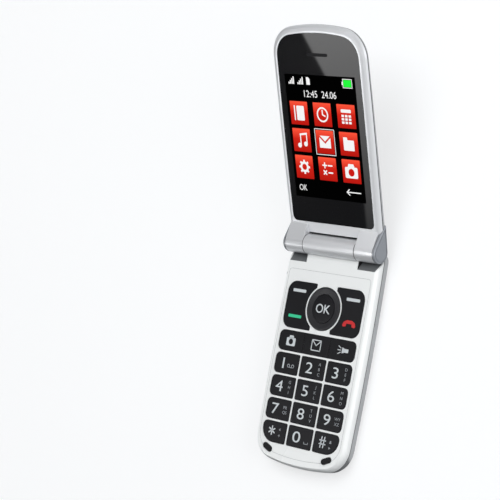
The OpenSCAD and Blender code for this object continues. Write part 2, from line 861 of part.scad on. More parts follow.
// Flex cable of the base, rolled up inside the barrel
module hinge_flex() {
    color("#b8752a") on_axis() {
        box(-3.5, -ramp_l - 3.5, flex_z - hinge_z + 0.1, 3.5, -1.35, flex_z - hinge_z + 0.25);
        box(-3.5, -ramp_l - 3.5, board_z + board_t + 0.02 - hinge_z, 3.5, -ramp_l - 3.3,
            flex_z - hinge_z + 0.25);
        box(-4, -ramp_l - 4.6, board_z + board_t + 0.02 - hinge_z, 4, -ramp_l - 3.3,
            board_z + board_t + 0.4 - hinge_z);
        for (r = [1.5, 2.2]) difference() {
            bar(r, -3.5, 3.5);
            bar(r - 0.12, -4, 4);
            box(-4, 0, -3, 4, 3, -r * 0.4);
        }
        box(-3.5, -0.1, 1.4, 3.5, 0.05, 2.15);
        box(-3.5, -1.55, flex_z - hinge_z + 0.1, 3.5, -1.35, -1.45);
    }
}

// Tail of the flex in the lid, from the pivot sleeve to the lid's board
module lid_flex() {
    x0 = -min(knuckle_out - 1.8, half_w - window_side - 1.6);
    x1 = -knuckle_in - 2;
    color("#b8752a") in_lid() {
        box(x0, -window_l - 6, lid_board_z - 0.15, x1, -window_l - 2.4, lid_board_z - 0.03);
        box(x0, -window_l - 2.6, lid_flex_z, x1, -window_l - 2.4, lid_board_z - 0.03);
        box(x0, -window_l - 2.6, lid_flex_z, x1, -0.5, lid_flex_z + 0.12);
    }
}

// End caps that close the knuckles, with a groove round their faces
module hinge_caps() {
    color("#c9ccd0") in_lid() both_sides() difference() {
        hull() {
            side_profile(knuckle_out + 0.05, knuckle_out + 0.06) teardrop();
            side_profile(knuckle_out + cap_t * 0.5, knuckle_out + cap_t * 0.5 + eps) teardrop();
            side_profile(knuckle_out + cap_t * 0.85, knuckle_out + cap_t * 0.85 + eps)
                offset(delta = -0.15) teardrop();
            side_profile(knuckle_out + cap_t - eps, knuckle_out + cap_t)
                offset(delta = -0.6) teardrop();
        }
        side_profile(knuckle_out + cap_t - 0.3, knuckle_out + cap_t + 1) difference() {
            offset(delta = -0.75) teardrop();
            offset(delta = -1.1) teardrop();
        }
    }
}

// ---- lid ----------------------------------------------------------------------------

module window_plan(grow = 0) {
    r = 2.6;
    offset(r + grow, $fn = 32) offset(delta = -r)
        plan(window_side, window_tip, -window_l);
}

// Silver front frame with the two knuckles and the rim round the window
module lid_front_frame() {
    cavity_end = window_l + 1.2;
    color("#d8dadc") in_lid() difference() {
        union() {
            difference() {
                lid_lower(-knuckle_r - 0.1);
                translate([0, 0, lid_face - 1]) linear_extrude(1 + window_t + eps)
                    window_plan(fit_gap);
                plate(lid_face, lid_seam + 1, window_side + 1.2, window_tip + 1.4, -cavity_end);
                plate(window_z + 1, lid_seam + 1, wall + 0.2, wall + 0.2, -window_l);
            }
            both_sides() {
                bar(knuckle_r, knuckle_in, knuckle_out);
                side_profile(knuckle_in, knuckle_out) ramp_profile();
            }
        }
        both_sides() {
            bar(hinge_bore_r, knuckle_in - 1, knuckle_out + 1);
            box(knuckle_in + 1.6, -cavity_end - 0.1, lid_flex_z - 0.4, knuckle_out - 1.6, -1,
                lid_flex_z + 0.6);
        }
        bar(knuckle_r + sweep_gap, -knuckle_in, knuckle_in);
        cap_room();
    }
}

// Silver outer cover of the lid
module lid_back_cover() {
    color("#b9bbbd") in_lid() difference() {
        lid_upper(0);
        hull() {
            lid_level(lid_seam - 1, wall, wall, -knuckle_r - 2);
            lid_level(lid_back - skin - 0.9, wall, wall, -knuckle_r - 2);
            lid_level(lid_back - skin, wall + 1.1, wall + 1.1, -knuckle_r - 2);
        }
        bar(knuckle_r + sweep_gap, -half_w - 1, half_w + 1);
        cap_room();
    }
}

// Dark window over display and earpiece
module display_window() {
    color("#141416") in_lid() difference() {
        translate([0, 0, lid_face + 0.05]) linear_extrude(window_t - 0.05) window_plan();
        translate([0, -earpiece_l, lid_face - 1]) linear_extrude(3) slot_plan();
    }
}

slot_h = 1.4;
module slot_plan(grow = 0) {
    hull() {
        translate([-earpiece_w / 2 + slot_h / 2, 0]) circle(slot_h / 2 + grow, $fn = 32);
        translate([earpiece_w / 2 - slot_h / 2, 0]) circle(slot_h / 2 + grow, $fn = 32);
    }
}

// Mesh strip in the earpiece slot
module earpiece_mesh() {
    pitch = 0.9;
    color("#5b5d60") in_lid() translate([0, -earpiece_l, lid_face + 0.3]) difference() {
        linear_extrude(window_t - 0.3) slot_plan(-0.05);
        for (x = [-earpiece_w / 2 + 1.2:pitch:earpiece_w / 2 - 1.2]) {
            translate([x, 0, -1]) cylinder(r = 0.28, h = 3, $fn = 16);
        }
    }
}

module earpiece_speaker() {
    color("#3a3b3e") in_lid() difference() {
        box(-7, -earpiece_l - 3, lcd_z, 7, -earpiece_l + 3, lcd_z + lcd_t);
        box(-5.5, -earpiece_l - 1.8, lcd_z - 1, 5.5, -earpiece_l + 1.8, lcd_z + 0.4);
    }
}

lcd_margin = 1.3;
lcd_side = screen_w / 2 + lcd_margin;
lcd_low = screen_l - 4;
lcd_high = screen_l + screen_h + 1.6;

module lcd_panel() {
    color("#20262b") in_lid()
        box(-lcd_side, -lcd_high, lcd_z, lcd_side, -lcd_low, lcd_z + lcd_t - 0.1);
}

// Pressed frame round the display
module lcd_frame() {
    t = 0.5;
    color("#a8aaac") in_lid() difference() {
        box(-lcd_side - t - 0.1, -lcd_high - t - 0.1, lcd_z, lcd_side + t + 0.1,
            -lcd_low + t + 0.1, lcd_z + lcd_t + 0.1);
        box(-lcd_side - 0.1, -lcd_high - 0.1, lcd_z - 1, lcd_side + 0.1, -lcd_low + 0.1,
            lcd_z + lcd_t);
        box(-lcd_side + 3, -lcd_high + 3, lcd_z, lcd_side - 3, -lcd_low - 3, lcd_z + 4);
    }
}

module lid_board() {
    color("#1f5a3a") in_lid() difference() {
        plate(lid_board_z, lid_board_z + lid_board_t, wall + 1, wall + 1, -window_l - 2.8);
        translate([motor_at[0], motor_at[1], 0]) cylinder(r = motor_r + 0.3, h = 10);
    }
}

motor_at = [14, -reach + 12];
motor_r = 4;
module vibration_motor() {
    color("#9fa2a6") in_lid() translate([motor_at[0], motor_at[1], lcd_z])
        cylinder(r = motor_r, h = lid_back - skin - lid_taper - 0.1 - lcd_z);
}

// Magnet that tells the base that the lid is shut
module hall_magnet() {
    color("#77797c") in_lid()
        box(-17.5, -earpiece_l - 4, lcd_z, -14.5, -earpiece_l - 1, lcd_z + lcd_t);
}

// ---- inside of the base -------------------------------------------------------------

module main_board() {
    color("#1f6a42") in_base() difference() {
        foot_plate(board_z, board_z + board_t, wall + 0.6, wall + 0.8, -ramp_l - 2.5);
        screw_holes(board_z - 1, board_z + 2, boss_r + 0.25);
        boss_ribs(0.2);
        box(-half_w, -jack_l - jack_body_r - 0.2, board_z - 1, -jack_in + 0.3,
            -jack_l + jack_body_r + 0.2, board_z + 2);
    }
}

mat_side = panel_inset + ledge_w + 0.4;
module dome_sheet() {
    color("#d9dbd2") in_base()
        plate(dome_z, mat_z, mat_side, mat_side + 2, -panel_top - 5);
}

module keypad_mat() {
    color("#6f7275") in_base()
        plate(mat_z, mat_top, mat_side, mat_side + 2, -panel_top - 5);
}

module battery() {
    color("#2f3134") in_base() translate([0, 0, battery_z]) linear_extrude(battery_t)
        rounded(-battery_w / 2, -well_end + 0.3, battery_w / 2, -battery_top,
            [1, 1, 1, 1]);
}

// Three spring contacts on their moulded block
module battery_contacts() {
    color("#c8a44a") in_base() difference() {
        box(-6, -battery_top + 0.15, battery_z + 0.4, 6, -battery_top + 1.5, board_z - 0.02);
        for (x = [-2, 2]) {
            box(x - 0.5, -battery_top, battery_z, x + 0.5, -battery_top + 0.9, board_z - 0.6);
        }
    }
}

module card_socket(x0, x1, h) {
    y0 = -battery_top + 1.9;
    y1 = -well_top - 0.3;
    difference() {
        box(x0, y0, board_z - h, x1, y1, board_z - 0.02);
        box(x0 + 0.6, y0 - 1, board_z - h + 0.3, x1 - 0.6, y1 - 1.2, board_z - 0.5);
    }
}

module sim_card_holder() {
    color("#b4b6b9") in_base() card_socket(-battery_w / 2 + 0.5, -1, 1.6);
}

module memory_card_slot() {
    color("#a7a9ac") in_base() card_socket(1.5, battery_w / 2 - 4, 1.7);
}

// Pressed cans over the radio and the processor
module shield_cans() {
    color("#bcbfc2") in_base() {
        shield_can(half_w - 15.1, -cover_split + 5.2, half_w - 4, -ramp_l - 4.2);
        shield_can(-7, -cover_split + 1.9, half_w - 17.1, -cover_split + 8.5);
    }
}

module shield_can(x0, y0, x1, y1) {
    h = 1.6;
    t = 0.2;
    difference() {
        box(x0, y0, board_z - h, x1, y1, board_z - 0.02);
        box(x0 + t, y0 + t, board_z - h + t, x1 - t, y1 - t, board_z + 1);
    }
}

module loudspeaker() {
    color("#3b3c3f") in_base() translate([speaker_at[0], speaker_at[1], skin + 0.1]) {
        cylinder(r = speaker_r, h = 2.4);
        cylinder(r = speaker_r - 2.5, h = board_z - skin - 0.15);
    }
}

module microphone() {
    color("#8f9194") in_base()
        box(-2, -reach + 3.7, board_z - 1.1, 2, -reach + 6.3, board_z - 0.02);
}

module camera_module() {
    color("#2a2c30") in_base() translate([0, -camera_l, 0]) {
        difference() {
            translate([0, 0, 1]) cylinder(r = camera_r - 1, h = board_z - 1.02);
            translate([0, 0, 0]) cylinder(r1 = 2, r2 = 1, h = 1.6);
        }
        box(-4, -4, skin + 0.3, 4, 4, board_z - 0.02);
    }
}

module camera_window() {
    color("#15171b") in_base() translate([0, -camera_l, 0.1])
        cylinder(r = camera_r, h = 0.75);
}

module torch_led() {
    color("#f2efe0") in_base() translate([torch_x, -camera_l, 0.05]) {
        cylinder(r = 1.45, h = skin + 1);
        translate([-1.9, -1.9, skin + 0.1]) cube([3.8, 3.8, 1]);
    }
}

// Charging socket: a pressed shell with its tongue, open to the left
module usb_port() {
    x0 = socket_x;
    t = 0.3;
    color("#a9abae") in_base() {
        difference() {
            box(x0, -usb_l - usb_w / 2, usb_z, x0 + usb_d, -usb_l + usb_w / 2, usb_z + usb_h);
            box(x0 - 1, -usb_l - usb_w / 2 + t, usb_z + t, x0 + usb_d - 0.6,
                -usb_l + usb_w / 2 - t, usb_z + usb_h - t);
        }
        box(x0 + 0.8, -usb_l - usb_w / 2 + 1.6, usb_z + 1, x0 + usb_d - 0.5,
            -usb_l + usb_w / 2 - 1.6, usb_z + 1.5);
    }
}

// Headset socket: a round nose in the side wall and a square body behind it
module headset_jack() {
    depth = -jack_in - socket_x;
    body_x = panel_inset + ledge_w - 0.4;
    color("#242528") in_base() translate([socket_x, -jack_l, jack_z]) difference() {
        union() {
            rotate([0, 90, 0]) cylinder(r = jack_body_r, h = depth);
            box(body_x, -jack_body_r, -jack_body_r, depth, jack_body_r, jack_body_r);
        }
        translate([-1, 0, 0]) rotate([0, 90, 0]) cylinder(r = jack_r, h = depth - 0.5 + 1);
    }
}

// Antenna film along the tray's wall at the free end
module antenna() {
    color("#a9803a") in_base() difference() {
        intersection() {
            foot_plate(skin + 1.8, board_z - 0.02, wall + 1.7, wall + 1.7, 0);
            box(-half_w, -reach, 0, half_w, -reach + 9, 20);
        }
        foot_plate(skin, board_z + 1, wall + 1.95, wall + 1.95, 1);
        box(-1, -reach, skin, 1, -reach + 4, board_z + 1);
    }
}

// Screws from the back into the posts of the front housing
module base_screws() {
    color("#7c7e81") in_base() for (p = screws_at) {
        translate([p[0], p[1], head_z(p)]) difference() {
            union() {
                cylinder(r = head_r, h = head_t);
                cylinder(r = screw_r, h = board_z - head_z(p));
            }
            for (a = [0, 90]) rotate([0, 0, a]) box(-1, -0.2, -1, 1, 0.2, 0.4);
        }
    }
}

// ---- every part by name -------------------------------------------------------------

base_back_shell();
base_front_housing();
keypad_panel();
hinge_barrel();
main_board();
dome_sheet();
keypad_mat();
battery();
battery_contacts();
sim_card_holder();
memory_card_slot();
shield_cans();
loudspeaker();
microphone();
camera_module();
camera_window();
torch_led();
usb_port();
headset_jack();
antenna();
base_screws();
rest_bumpers();
hinge_cam_shaft();
hinge_flex();
battery_cover();
lid_back_cover();
lid_front_frame();
display_window();
lcd_panel();
lcd_frame();
lid_board();
lid_flex();
earpiece_speaker();
earpiece_mesh();
vibration_motor();
hall_magnet();
hinge_caps();
hinge_cartridge();
hinge_spring();
hinge_pivot_sleeve();
key_0();
key_1();
key_2();
key_3();
key_4();
key_5();
key_6();
key_7();
key_8();
key_9();
key_star();
key_hash();
key_camera();
key_message();
key_torch();
rocker_left();
rocker_right();
nav_pad();
nav_ring();
ok_key();
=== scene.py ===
import json
import math
import bpy
from mathutils import Matrix, Vector


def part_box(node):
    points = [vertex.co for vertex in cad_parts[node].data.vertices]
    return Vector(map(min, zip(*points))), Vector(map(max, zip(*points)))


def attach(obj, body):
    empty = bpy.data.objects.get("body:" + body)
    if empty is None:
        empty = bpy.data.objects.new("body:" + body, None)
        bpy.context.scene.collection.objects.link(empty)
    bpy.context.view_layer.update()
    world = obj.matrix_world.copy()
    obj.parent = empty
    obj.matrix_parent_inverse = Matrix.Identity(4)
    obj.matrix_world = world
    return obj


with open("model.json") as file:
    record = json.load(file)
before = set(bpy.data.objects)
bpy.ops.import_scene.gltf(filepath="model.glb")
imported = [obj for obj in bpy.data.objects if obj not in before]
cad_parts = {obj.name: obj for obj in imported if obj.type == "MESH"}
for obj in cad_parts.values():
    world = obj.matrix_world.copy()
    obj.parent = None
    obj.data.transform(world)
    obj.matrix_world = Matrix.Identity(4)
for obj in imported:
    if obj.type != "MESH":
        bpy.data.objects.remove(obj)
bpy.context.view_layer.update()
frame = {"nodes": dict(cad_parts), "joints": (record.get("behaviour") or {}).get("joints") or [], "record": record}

mm = 0.001
nodes = frame["nodes"]
hinge = next(j for j in frame["joints"] if j["name"] == "lid_hinge")

# The open lid's own frame: x across, y away from the hinge, z out of the lid's face
lidRise = math.pi - math.radians(hinge["range_deg"][1])
lidFrame = Matrix.Translation(Vector(hinge["pos_m"])) @ Matrix.Rotation(lidRise, 4, "X")
windowTop = max((lidFrame.inverted() @ v.co).z for v in nodes["display_window"].data.vertices)


camera = {
    "place": (0.598545, 0.007347, 0.674597),
    "turn": (12.3486, 43.0622, 14.5509),
    "lens": 140.11,
    "sensor": 36.0,
    "clip": 0.01,
}


def makeCamera(values):
    bpy.ops.object.camera_add(location=values["place"])
    made = bpy.context.object
    made.name = "photoCamera"
    made.rotation_euler = [math.radians(a) for a in values["turn"]]
    made.data.sensor_width = values["sensor"]
    made.data.lens = values["lens"]
    made.data.clip_start = values["clip"]
    bpy.context.scene.camera = made


makeCamera(camera)
print("camera placed")


def feed(tree, value, socket):
    # A socket takes another node's output or a plain value
    if hasattr(value, "is_linked"):
        tree.links.new(value, socket)
    else:
        socket.default_value = value


def newGroup(name, takes, gives):
    # A node group, from the labels and kinds of its sockets
    group = bpy.data.node_groups.new(name, "ShaderNodeTree")
    for way, sockets in (("INPUT", takes), ("OUTPUT", gives)):
        for label, kind in sockets.items():
            group.interface.new_socket(label, in_out=way, socket_type="NodeSocket" + kind)
    given = group.nodes.new("NodeGroupInput").outputs
    result = group.nodes.new("NodeGroupOutput").inputs
    return group, given, result


def useGroup(tree, group, values):
    made = tree.nodes.new("ShaderNodeGroup")
    made.node_tree = group
    for label, value in values.items():
        feed(tree, value, made.inputs[label])
    return made.outputs


def surfaceOf(look):
    return look.node_tree.nodes["Principled BSDF"]


def newLook(name, values):
    # A material whose surface takes its values by their labels
    look = bpy.data.materials.new(name)
    look.use_nodes = True
    for label, value in values.items():
        feed(look.node_tree, value, surfaceOf(look).inputs[label])
    return look


def mixColour(tree, factor, first, second):
    # The node's colours are its inputs 6 and 7, and their mix is its output 2
    mix = tree.nodes.new("ShaderNodeMix")
    mix.data_type = "RGBA"
    for index, value in ((0, factor), (6, first), (7, second)):
        feed(tree, value, mix.inputs[index])
    return mix.outputs[2]


def noise(tree, vector, scale, detail):
    made = tree.nodes.new("ShaderNodeTexNoise")
    for label, value in (("Vector", vector), ("Scale", scale), ("Detail", detail)):
        feed(tree, value, made.inputs[label])
    return made.outputs["Fac"]


def maths(tree, kind, *values):
    made = tree.nodes.new("ShaderNodeMath")
    made.operation = kind
    for index, value in enumerate(values):
        feed(tree, value, made.inputs[index])
    return made.outputs[0]


def dot(tree, first, second):
    made = tree.nodes.new("ShaderNodeVectorMath")
    made.operation = "DOT_PRODUCT"
    feed(tree, first, made.inputs[0])
    feed(tree, second, made.inputs[1])
    return made.outputs["Value"]


def ramp(tree, factor, low, high, fromLow, fromHigh):
    made = tree.nodes.new("ShaderNodeMapRange")
    for index, value in enumerate((factor, fromLow, fromHigh, low, high)):
        feed(tree, value, made.inputs[index])
    return made.outputs["Result"]


def blendShaders(tree, factor, first, second):
    made = tree.nodes.new("ShaderNodeMixShader")
    tree.links.new(factor, made.inputs["Fac"])
    tree.links.new(first, made.inputs[1])
    tree.links.new(second, made.inputs[2])
    return made.outputs[0]


def lightFrom(tree, kind, colour, strength):
    made = tree.nodes.new(kind)
    feed(tree, colour, made.inputs["Color"])
    feed(tree, strength, made.inputs["Strength"])
    return made.outputs[0]


def glossRays(tree, path):
    # 1 where a gloss or a glass looks, 0 elsewhere
    return maths(tree, "MAXIMUM", path["Is Glossy Ray"], path["Is Transmission Ray"])


white = (1, 1, 1, 1)
studio = {
    "floorSize": 6.0,
    "floorDepth": 0.02 * mm,
    "floorColour": (0.36, 0.37, 0.38, 1),
    "floorRough": 0.9,
    "floorGloss": 0.1,
    "floorGlow": 0.64,
    "airColour": (0.96, 0.98, 1.0, 1),
    "brightSide": (0.62, 0.30, 0.72),
    # Strength on the dark and the bright side, and the cosines between which it rises
    "ambient": (0.06, 0.62, -0.5, 1.0),
    "mirrored": (0.24, 0.95, -0.3, 0.9),
    "aim": (0, 0.03, 0.01),
}

lamps = [
    {"name": "topLamp", "place": (0.05, 0.5, 1.05), "size": (0.8, 0.8), "power": 6.6,
     "diffuseOnly": True},
    {"name": "sideLamp", "place": (1.1, 0.15, 0.42), "size": (0.6, 0.6), "power": 5.6},
    {"name": "stripLamp", "place": (-0.82, -0.38, 0.85), "size": (0.16, 0.6), "power": 3.4,
     "glossOnly": True},
]

flagLook = {"Base Color": (0.02, 0.02, 0.02, 1), "Roughness": 1.0}
flags = [
    {"name": "footFlag", "place": (-0.03, -0.10, 0.3 * mm), "size": (0.15, 0.11)},
    {"name": "cornerFlag", "place": (0.07, 0.21, 0.55), "size": (0.28, 0.26)},
]


def makeWorld(values):
    # A room that is bright above and to one side; the eye sees plain white
    world = bpy.data.worlds.new("studioAir")
    bpy.context.scene.world = world
    world.use_nodes = True
    tree = world.node_tree
    tree.nodes.clear()
    out = tree.nodes.new("ShaderNodeOutputWorld")
    way = tree.nodes.new("ShaderNodeTexCoord").outputs["Generated"]
    path = tree.nodes.new("ShaderNodeLightPath").outputs
    towards = dot(tree, way, Vector(values["brightSide"]).normalized())
    light = lightFrom(tree, "ShaderNodeBackground", values["airColour"],
                      ramp(tree, towards, *values["ambient"]))
    mirrored = lightFrom(tree, "ShaderNodeBackground", white,
                         ramp(tree, towards, *values["mirrored"]))
    room = blendShaders(tree, glossRays(tree, path), light, mirrored)
    plain = lightFrom(tree, "ShaderNodeBackground", white, 1.0)
    tree.links.new(blendShaders(tree, path["Is Camera Ray"], room, plain), out.inputs["Surface"])


def applyPlace(piece):
    bpy.ops.object.transform_apply(location=True, rotation=True, scale=True)
    return piece


def makeFloor(values):
    # What the eye, a gloss or a glass sees is white, less the object's soft shadow
    bpy.ops.mesh.primitive_plane_add(size=values["floorSize"],
                                     location=(0, 0, -values["floorDepth"]))
    floor = applyPlace(bpy.context.object)
    floor.name = "studioFloor"
    look = newLook("paleFloor", {"Base Color": values["floorColour"],
                                 "Roughness": values["floorRough"],
                                 "Specular IOR Level": values["floorGloss"]})
    floor.data.materials.append(look)
    tree = look.node_tree
    surface = surfaceOf(look).outputs[0]
    add = tree.nodes.new("ShaderNodeAddShader")
    tree.links.new(surface, add.inputs[0])
    tree.links.new(lightFrom(tree, "ShaderNodeEmission", white, values["floorGlow"]), add.inputs[1])
    path = tree.nodes.new("ShaderNodeLightPath").outputs
    seen = maths(tree, "MAXIMUM", path["Is Camera Ray"], glossRays(tree, path))
    tree.links.new(blendShaders(tree, seen, surface, add.outputs[0]),
                   tree.nodes["Material Output"].inputs["Surface"])


def makeLamp(values):
    bpy.ops.object.light_add(type="AREA", location=values["place"])
    lamp = bpy.context.object
    lamp.name = values["name"]
    lamp.data.shape = "RECTANGLE"
    lamp.data.size, lamp.data.size_y = values["size"]
    lamp.data.energy = values["power"]
    lamp.visible_diffuse = not values.get("glossOnly", False)
    lamp.visible_glossy = not values.get("diffuseOnly", False)
    away = Vector(studio["aim"]) - lamp.location
    lamp.rotation_euler = away.to_track_quat("-Z", "Y").to_euler()


def showToGloss(thing):
    # Only gloss sees it
    thing.visible_camera = False
    thing.visible_diffuse = False
    thing.visible_shadow = False
    thing.visible_transmission = False


def makeFlag(values):
    # A dark card that shades an edge
    bpy.ops.mesh.primitive_plane_add(size=1, location=values["place"])
    flag = bpy.context.object
    flag.name = values["name"]
    flag.scale = (*values["size"], 1)
    applyPlace(flag)
    flag.data.materials.append(newLook(values["name"], flagLook))
    showToGloss(flag)


bpy.ops.object.select_all(action="DESELECT")
bpy.context.scene.view_settings.view_transform = "Standard"
makeWorld(studio)
makeFloor(studio)
for values in lamps:
    makeLamp(values)
for values in flags:
    makeFlag(values)
print("studio lit")


wear = {
    "grainDetail": 3.0,
    "grainShare": 0.3,
    "marksScale": 28.0,
    "marksDetail": 1.5,
    "shadeRange": (0.35, 0.95),
    "roughRange": (0.3, 0.7),
    "depth": 0.05 * mm,
    "edgeSamples": 4,
}


def makeSurfaceGroup():
    # Fine grain and faint handling marks: colour, roughness and height that vary over a surface
    group, given, result = newGroup(
        "surfaceGrain",
        {"Vector": "Vector", "Colour": "Color", "Shade": "Color", "Grain Scale": "Float",
         "Roughness Low": "Float", "Roughness High": "Float"},
        {"Color": "Color", "Roughness": "Float", "Height": "Float"})
    grain = noise(group, given["Vector"], given["Grain Scale"], wear["grainDetail"])
    marks = noise(group, given["Vector"], wear["marksScale"], wear["marksDetail"])
    both = maths(group, "MULTIPLY_ADD", grain, wear["grainShare"], marks)
    worn = ramp(group, both, 0.0, 1.0, *wear["shadeRange"])
    colour = mixColour(group, worn, given["Colour"], given["Shade"])
    rough = ramp(group, marks, given["Roughness Low"], given["Roughness High"], *wear["roughRange"])
    group.links.new(colour, result["Color"])
    group.links.new(rough, result["Roughness"])
    group.links.new(grain, result["Height"])
    return group


surfaceGrain = makeSurfaceGroup()

seam = {
    "colour": (0.04, 0.042, 0.045, 1),
    "fade": (0.6, 1.0),
    "alongPlane": (0.8, 0.95),
    "baseHeight": 5.2 * mm,
    "capPlace": 27.0 * mm,
    # The cover's rim is measured beyond this distance from the hinge
    "lidFrom": 60 * mm,
}


def makeJointGroup():
    # A line where a plane cuts a wall: 1 on the line, 0 beside it and on faces along the plane
    group, given, result = newGroup(
        "jointLine",
        {"Vector": "Vector", "Normal": "Vector", "Across": "Vector", "Place": "Float",
         "Half Width": "Float"},
        {"Mask": "Float"})
    height = dot(group, given["Vector"], given["Across"])
    facing = maths(group, "ABSOLUTE", dot(group, given["Normal"], given["Across"]))
    away = maths(group, "ABSOLUTE", maths(group, "SUBTRACT", height, given["Place"]))
    near = ramp(group, maths(group, "DIVIDE", away, given["Half Width"]), 1.0, 0.0, *seam["fade"])
    wall = ramp(group, facing, 1.0, 0.0, *seam["alongPlane"])
    group.links.new(maths(group, "MULTIPLY", near, wall), result["Mask"])
    return group


jointLine = makeJointGroup()
coverPoints = [lidFrame.inverted() @ v.co for v in nodes["lid_back_cover"].data.vertices]
lidSeam = max(p.z for p in coverPoints if p.y > seam["lidFrom"])
lidUp = lidFrame.col[2].xyz
joints = {
    "base": {"Across": (0, 0, 1), "Place": seam["baseHeight"], "Half Width": 0.26 * mm},
    "lid": {"Across": lidUp, "Place": lidUp.dot(lidFrame.translation) + lidSeam,
            "Half Width": 0.3 * mm},
    "capRight": {"Across": (1, 0, 0), "Place": seam["capPlace"], "Half Width": 0.25 * mm},
    "capLeft": {"Across": (1, 0, 0), "Place": -seam["capPlace"], "Half Width": 0.25 * mm},
}


finishes = {
    "face_white": {"colour": (0.865, 0.88, 0.875), "shade": (0.84, 0.855, 0.85), "grain": 2500,
                   "rough": (0.26, 0.32), "bump": 0.015, "edge": 0.22, "joints": ["base"]},
    "shell_silver": {"colour": (0.43, 0.44, 0.45), "shade": (0.38, 0.39, 0.40), "grain": 2600,
                     "rough": (0.34, 0.42), "bump": 0.02, "edge": 0.2, "metal": 0.5,
                     "joints": ["base"]},
    "lid_silver": {"colour": (0.68, 0.69, 0.71), "shade": (0.63, 0.64, 0.66), "grain": 2600,
                   "rough": (0.34, 0.40), "bump": 0.02, "edge": 0.2, "metal": 0.5,
                   "joints": ["lid"]},
    "back_silver": {"colour": (0.47, 0.48, 0.49), "shade": (0.43, 0.44, 0.45), "grain": 2600,
                    "rough": (0.34, 0.42), "bump": 0.02, "edge": 0.2, "metal": 0.5,
                    "joints": ["lid"]},
    "hinge_silver": {"colour": (0.70, 0.71, 0.73), "shade": (0.66, 0.67, 0.69), "grain": 2600,
                     "rough": (0.42, 0.46), "bump": 0.0, "metal": 0.6},
    "cap_silver": {"colour": (0.28, 0.295, 0.32), "shade": (0.25, 0.265, 0.29), "grain": 2600,
                   "rough": (0.34, 0.40), "bump": 0.015, "edge": 0.12, "metal": 0.5,
                   "joints": ["capLeft", "capRight"]},
    # Painted shade in the notches that the knuckles turn into
    "notch_painted_shade": {"colour": (0.13, 0.14, 0.145), "shade": (0.10, 0.105, 0.11), "grain": 2600,
                   "rough": (0.40, 0.48), "bump": 0.03},
    # Painted highlight on the frame's inner lip round the window
    "rim_painted_highlight": {"colour": (0.90, 0.91, 0.92), "shade": (0.84, 0.85, 0.87), "grain": 2600,
                   "rough": (0.18, 0.24), "bump": 0.0},
    # Dark of joints and of the earpiece's mesh, and painted shade in the notches, by the barrel and over the
    # earpiece's slot
    "gap_dark_and_painted_shade": {"colour": (0.03, 0.03, 0.032), "shade": (0.02, 0.02, 0.021), "grain": 2600,
                 "rough": (0.6, 0.7), "bump": 0.0, "gloss": 0.04},
    "seam_grey": {"colour": (0.42, 0.43, 0.44), "shade": (0.36, 0.37, 0.38), "grain": 2600,
                  "rough": (0.5, 0.6), "bump": 0.0},
    "key_black": {"colour": (0.0075, 0.0075, 0.009), "shade": (0.010, 0.010, 0.012), "grain": 5000,
                  "rough": (0.34, 0.42), "bump": 0.06, "edge": 0.12, "gloss": 0.14},
    "ring_dark": {"colour": (0.020, 0.020, 0.022), "shade": (0.026, 0.026, 0.029), "grain": 5000,
                  "rough": (0.34, 0.42), "bump": 0.05, "edge": 0.12, "gloss": 0.22},
    "window_black": {"colour": (0.006, 0.006, 0.007), "shade": (0.008, 0.008, 0.009), "grain": 900,
                     "rough": (0.03, 0.05), "bump": 0.0, "edge": 0.1},
    "screen": {"colour": (0.02, 0.025, 0.03), "shade": (0.03, 0.035, 0.04), "grain": 900,
               "rough": (0.2, 0.3), "bump": 0.0},
    "board_green": {"colour": (0.02, 0.12, 0.06), "shade": (0.04, 0.19, 0.10), "grain": 700,
                    "rough": (0.35, 0.5), "bump": 0.1},
    "film": {"colour": (0.45, 0.24, 0.05), "shade": (0.52, 0.3, 0.08), "grain": 600,
             "rough": (0.3, 0.4), "bump": 0.02},
    "mat_grey": {"colour": (0.16, 0.17, 0.18), "shade": (0.2, 0.21, 0.22), "grain": 3000,
                 "rough": (0.7, 0.8), "bump": 0.1},
    "bumper": {"colour": (0.009, 0.009, 0.010), "shade": (0.013, 0.013, 0.014), "grain": 4000,
               "rough": (0.6, 0.75), "bump": 0.08, "edge": 0.1, "gloss": 0.15},
    "steel": {"colour": (0.56, 0.57, 0.58), "shade": (0.44, 0.45, 0.46), "grain": 5000,
              "rough": (0.25, 0.4), "bump": 0.03, "metal": 1.0},
    "contact_gold": {"colour": (0.8, 0.6, 0.25), "shade": (0.7, 0.5, 0.2), "grain": 5000,
                     "rough": (0.2, 0.3), "bump": 0.02, "metal": 1.0},
    "cell": {"colour": (0.05, 0.055, 0.065), "shade": (0.07, 0.075, 0.085), "grain": 1200,
             "rough": (0.35, 0.5), "bump": 0.03},
    "part_dark": {"colour": (0.02, 0.02, 0.022), "shade": (0.035, 0.035, 0.038), "grain": 3000,
                  "rough": (0.5, 0.6), "bump": 0.05},
    "lens": {"colour": (0.01, 0.011, 0.014), "shade": (0.012, 0.013, 0.016), "grain": 800,
             "rough": (0.03, 0.06), "bump": 0.0},
    "led": {"colour": (0.85, 0.82, 0.62), "shade": (0.8, 0.76, 0.5), "grain": 2000,
            "rough": (0.2, 0.3), "bump": 0.02},
}


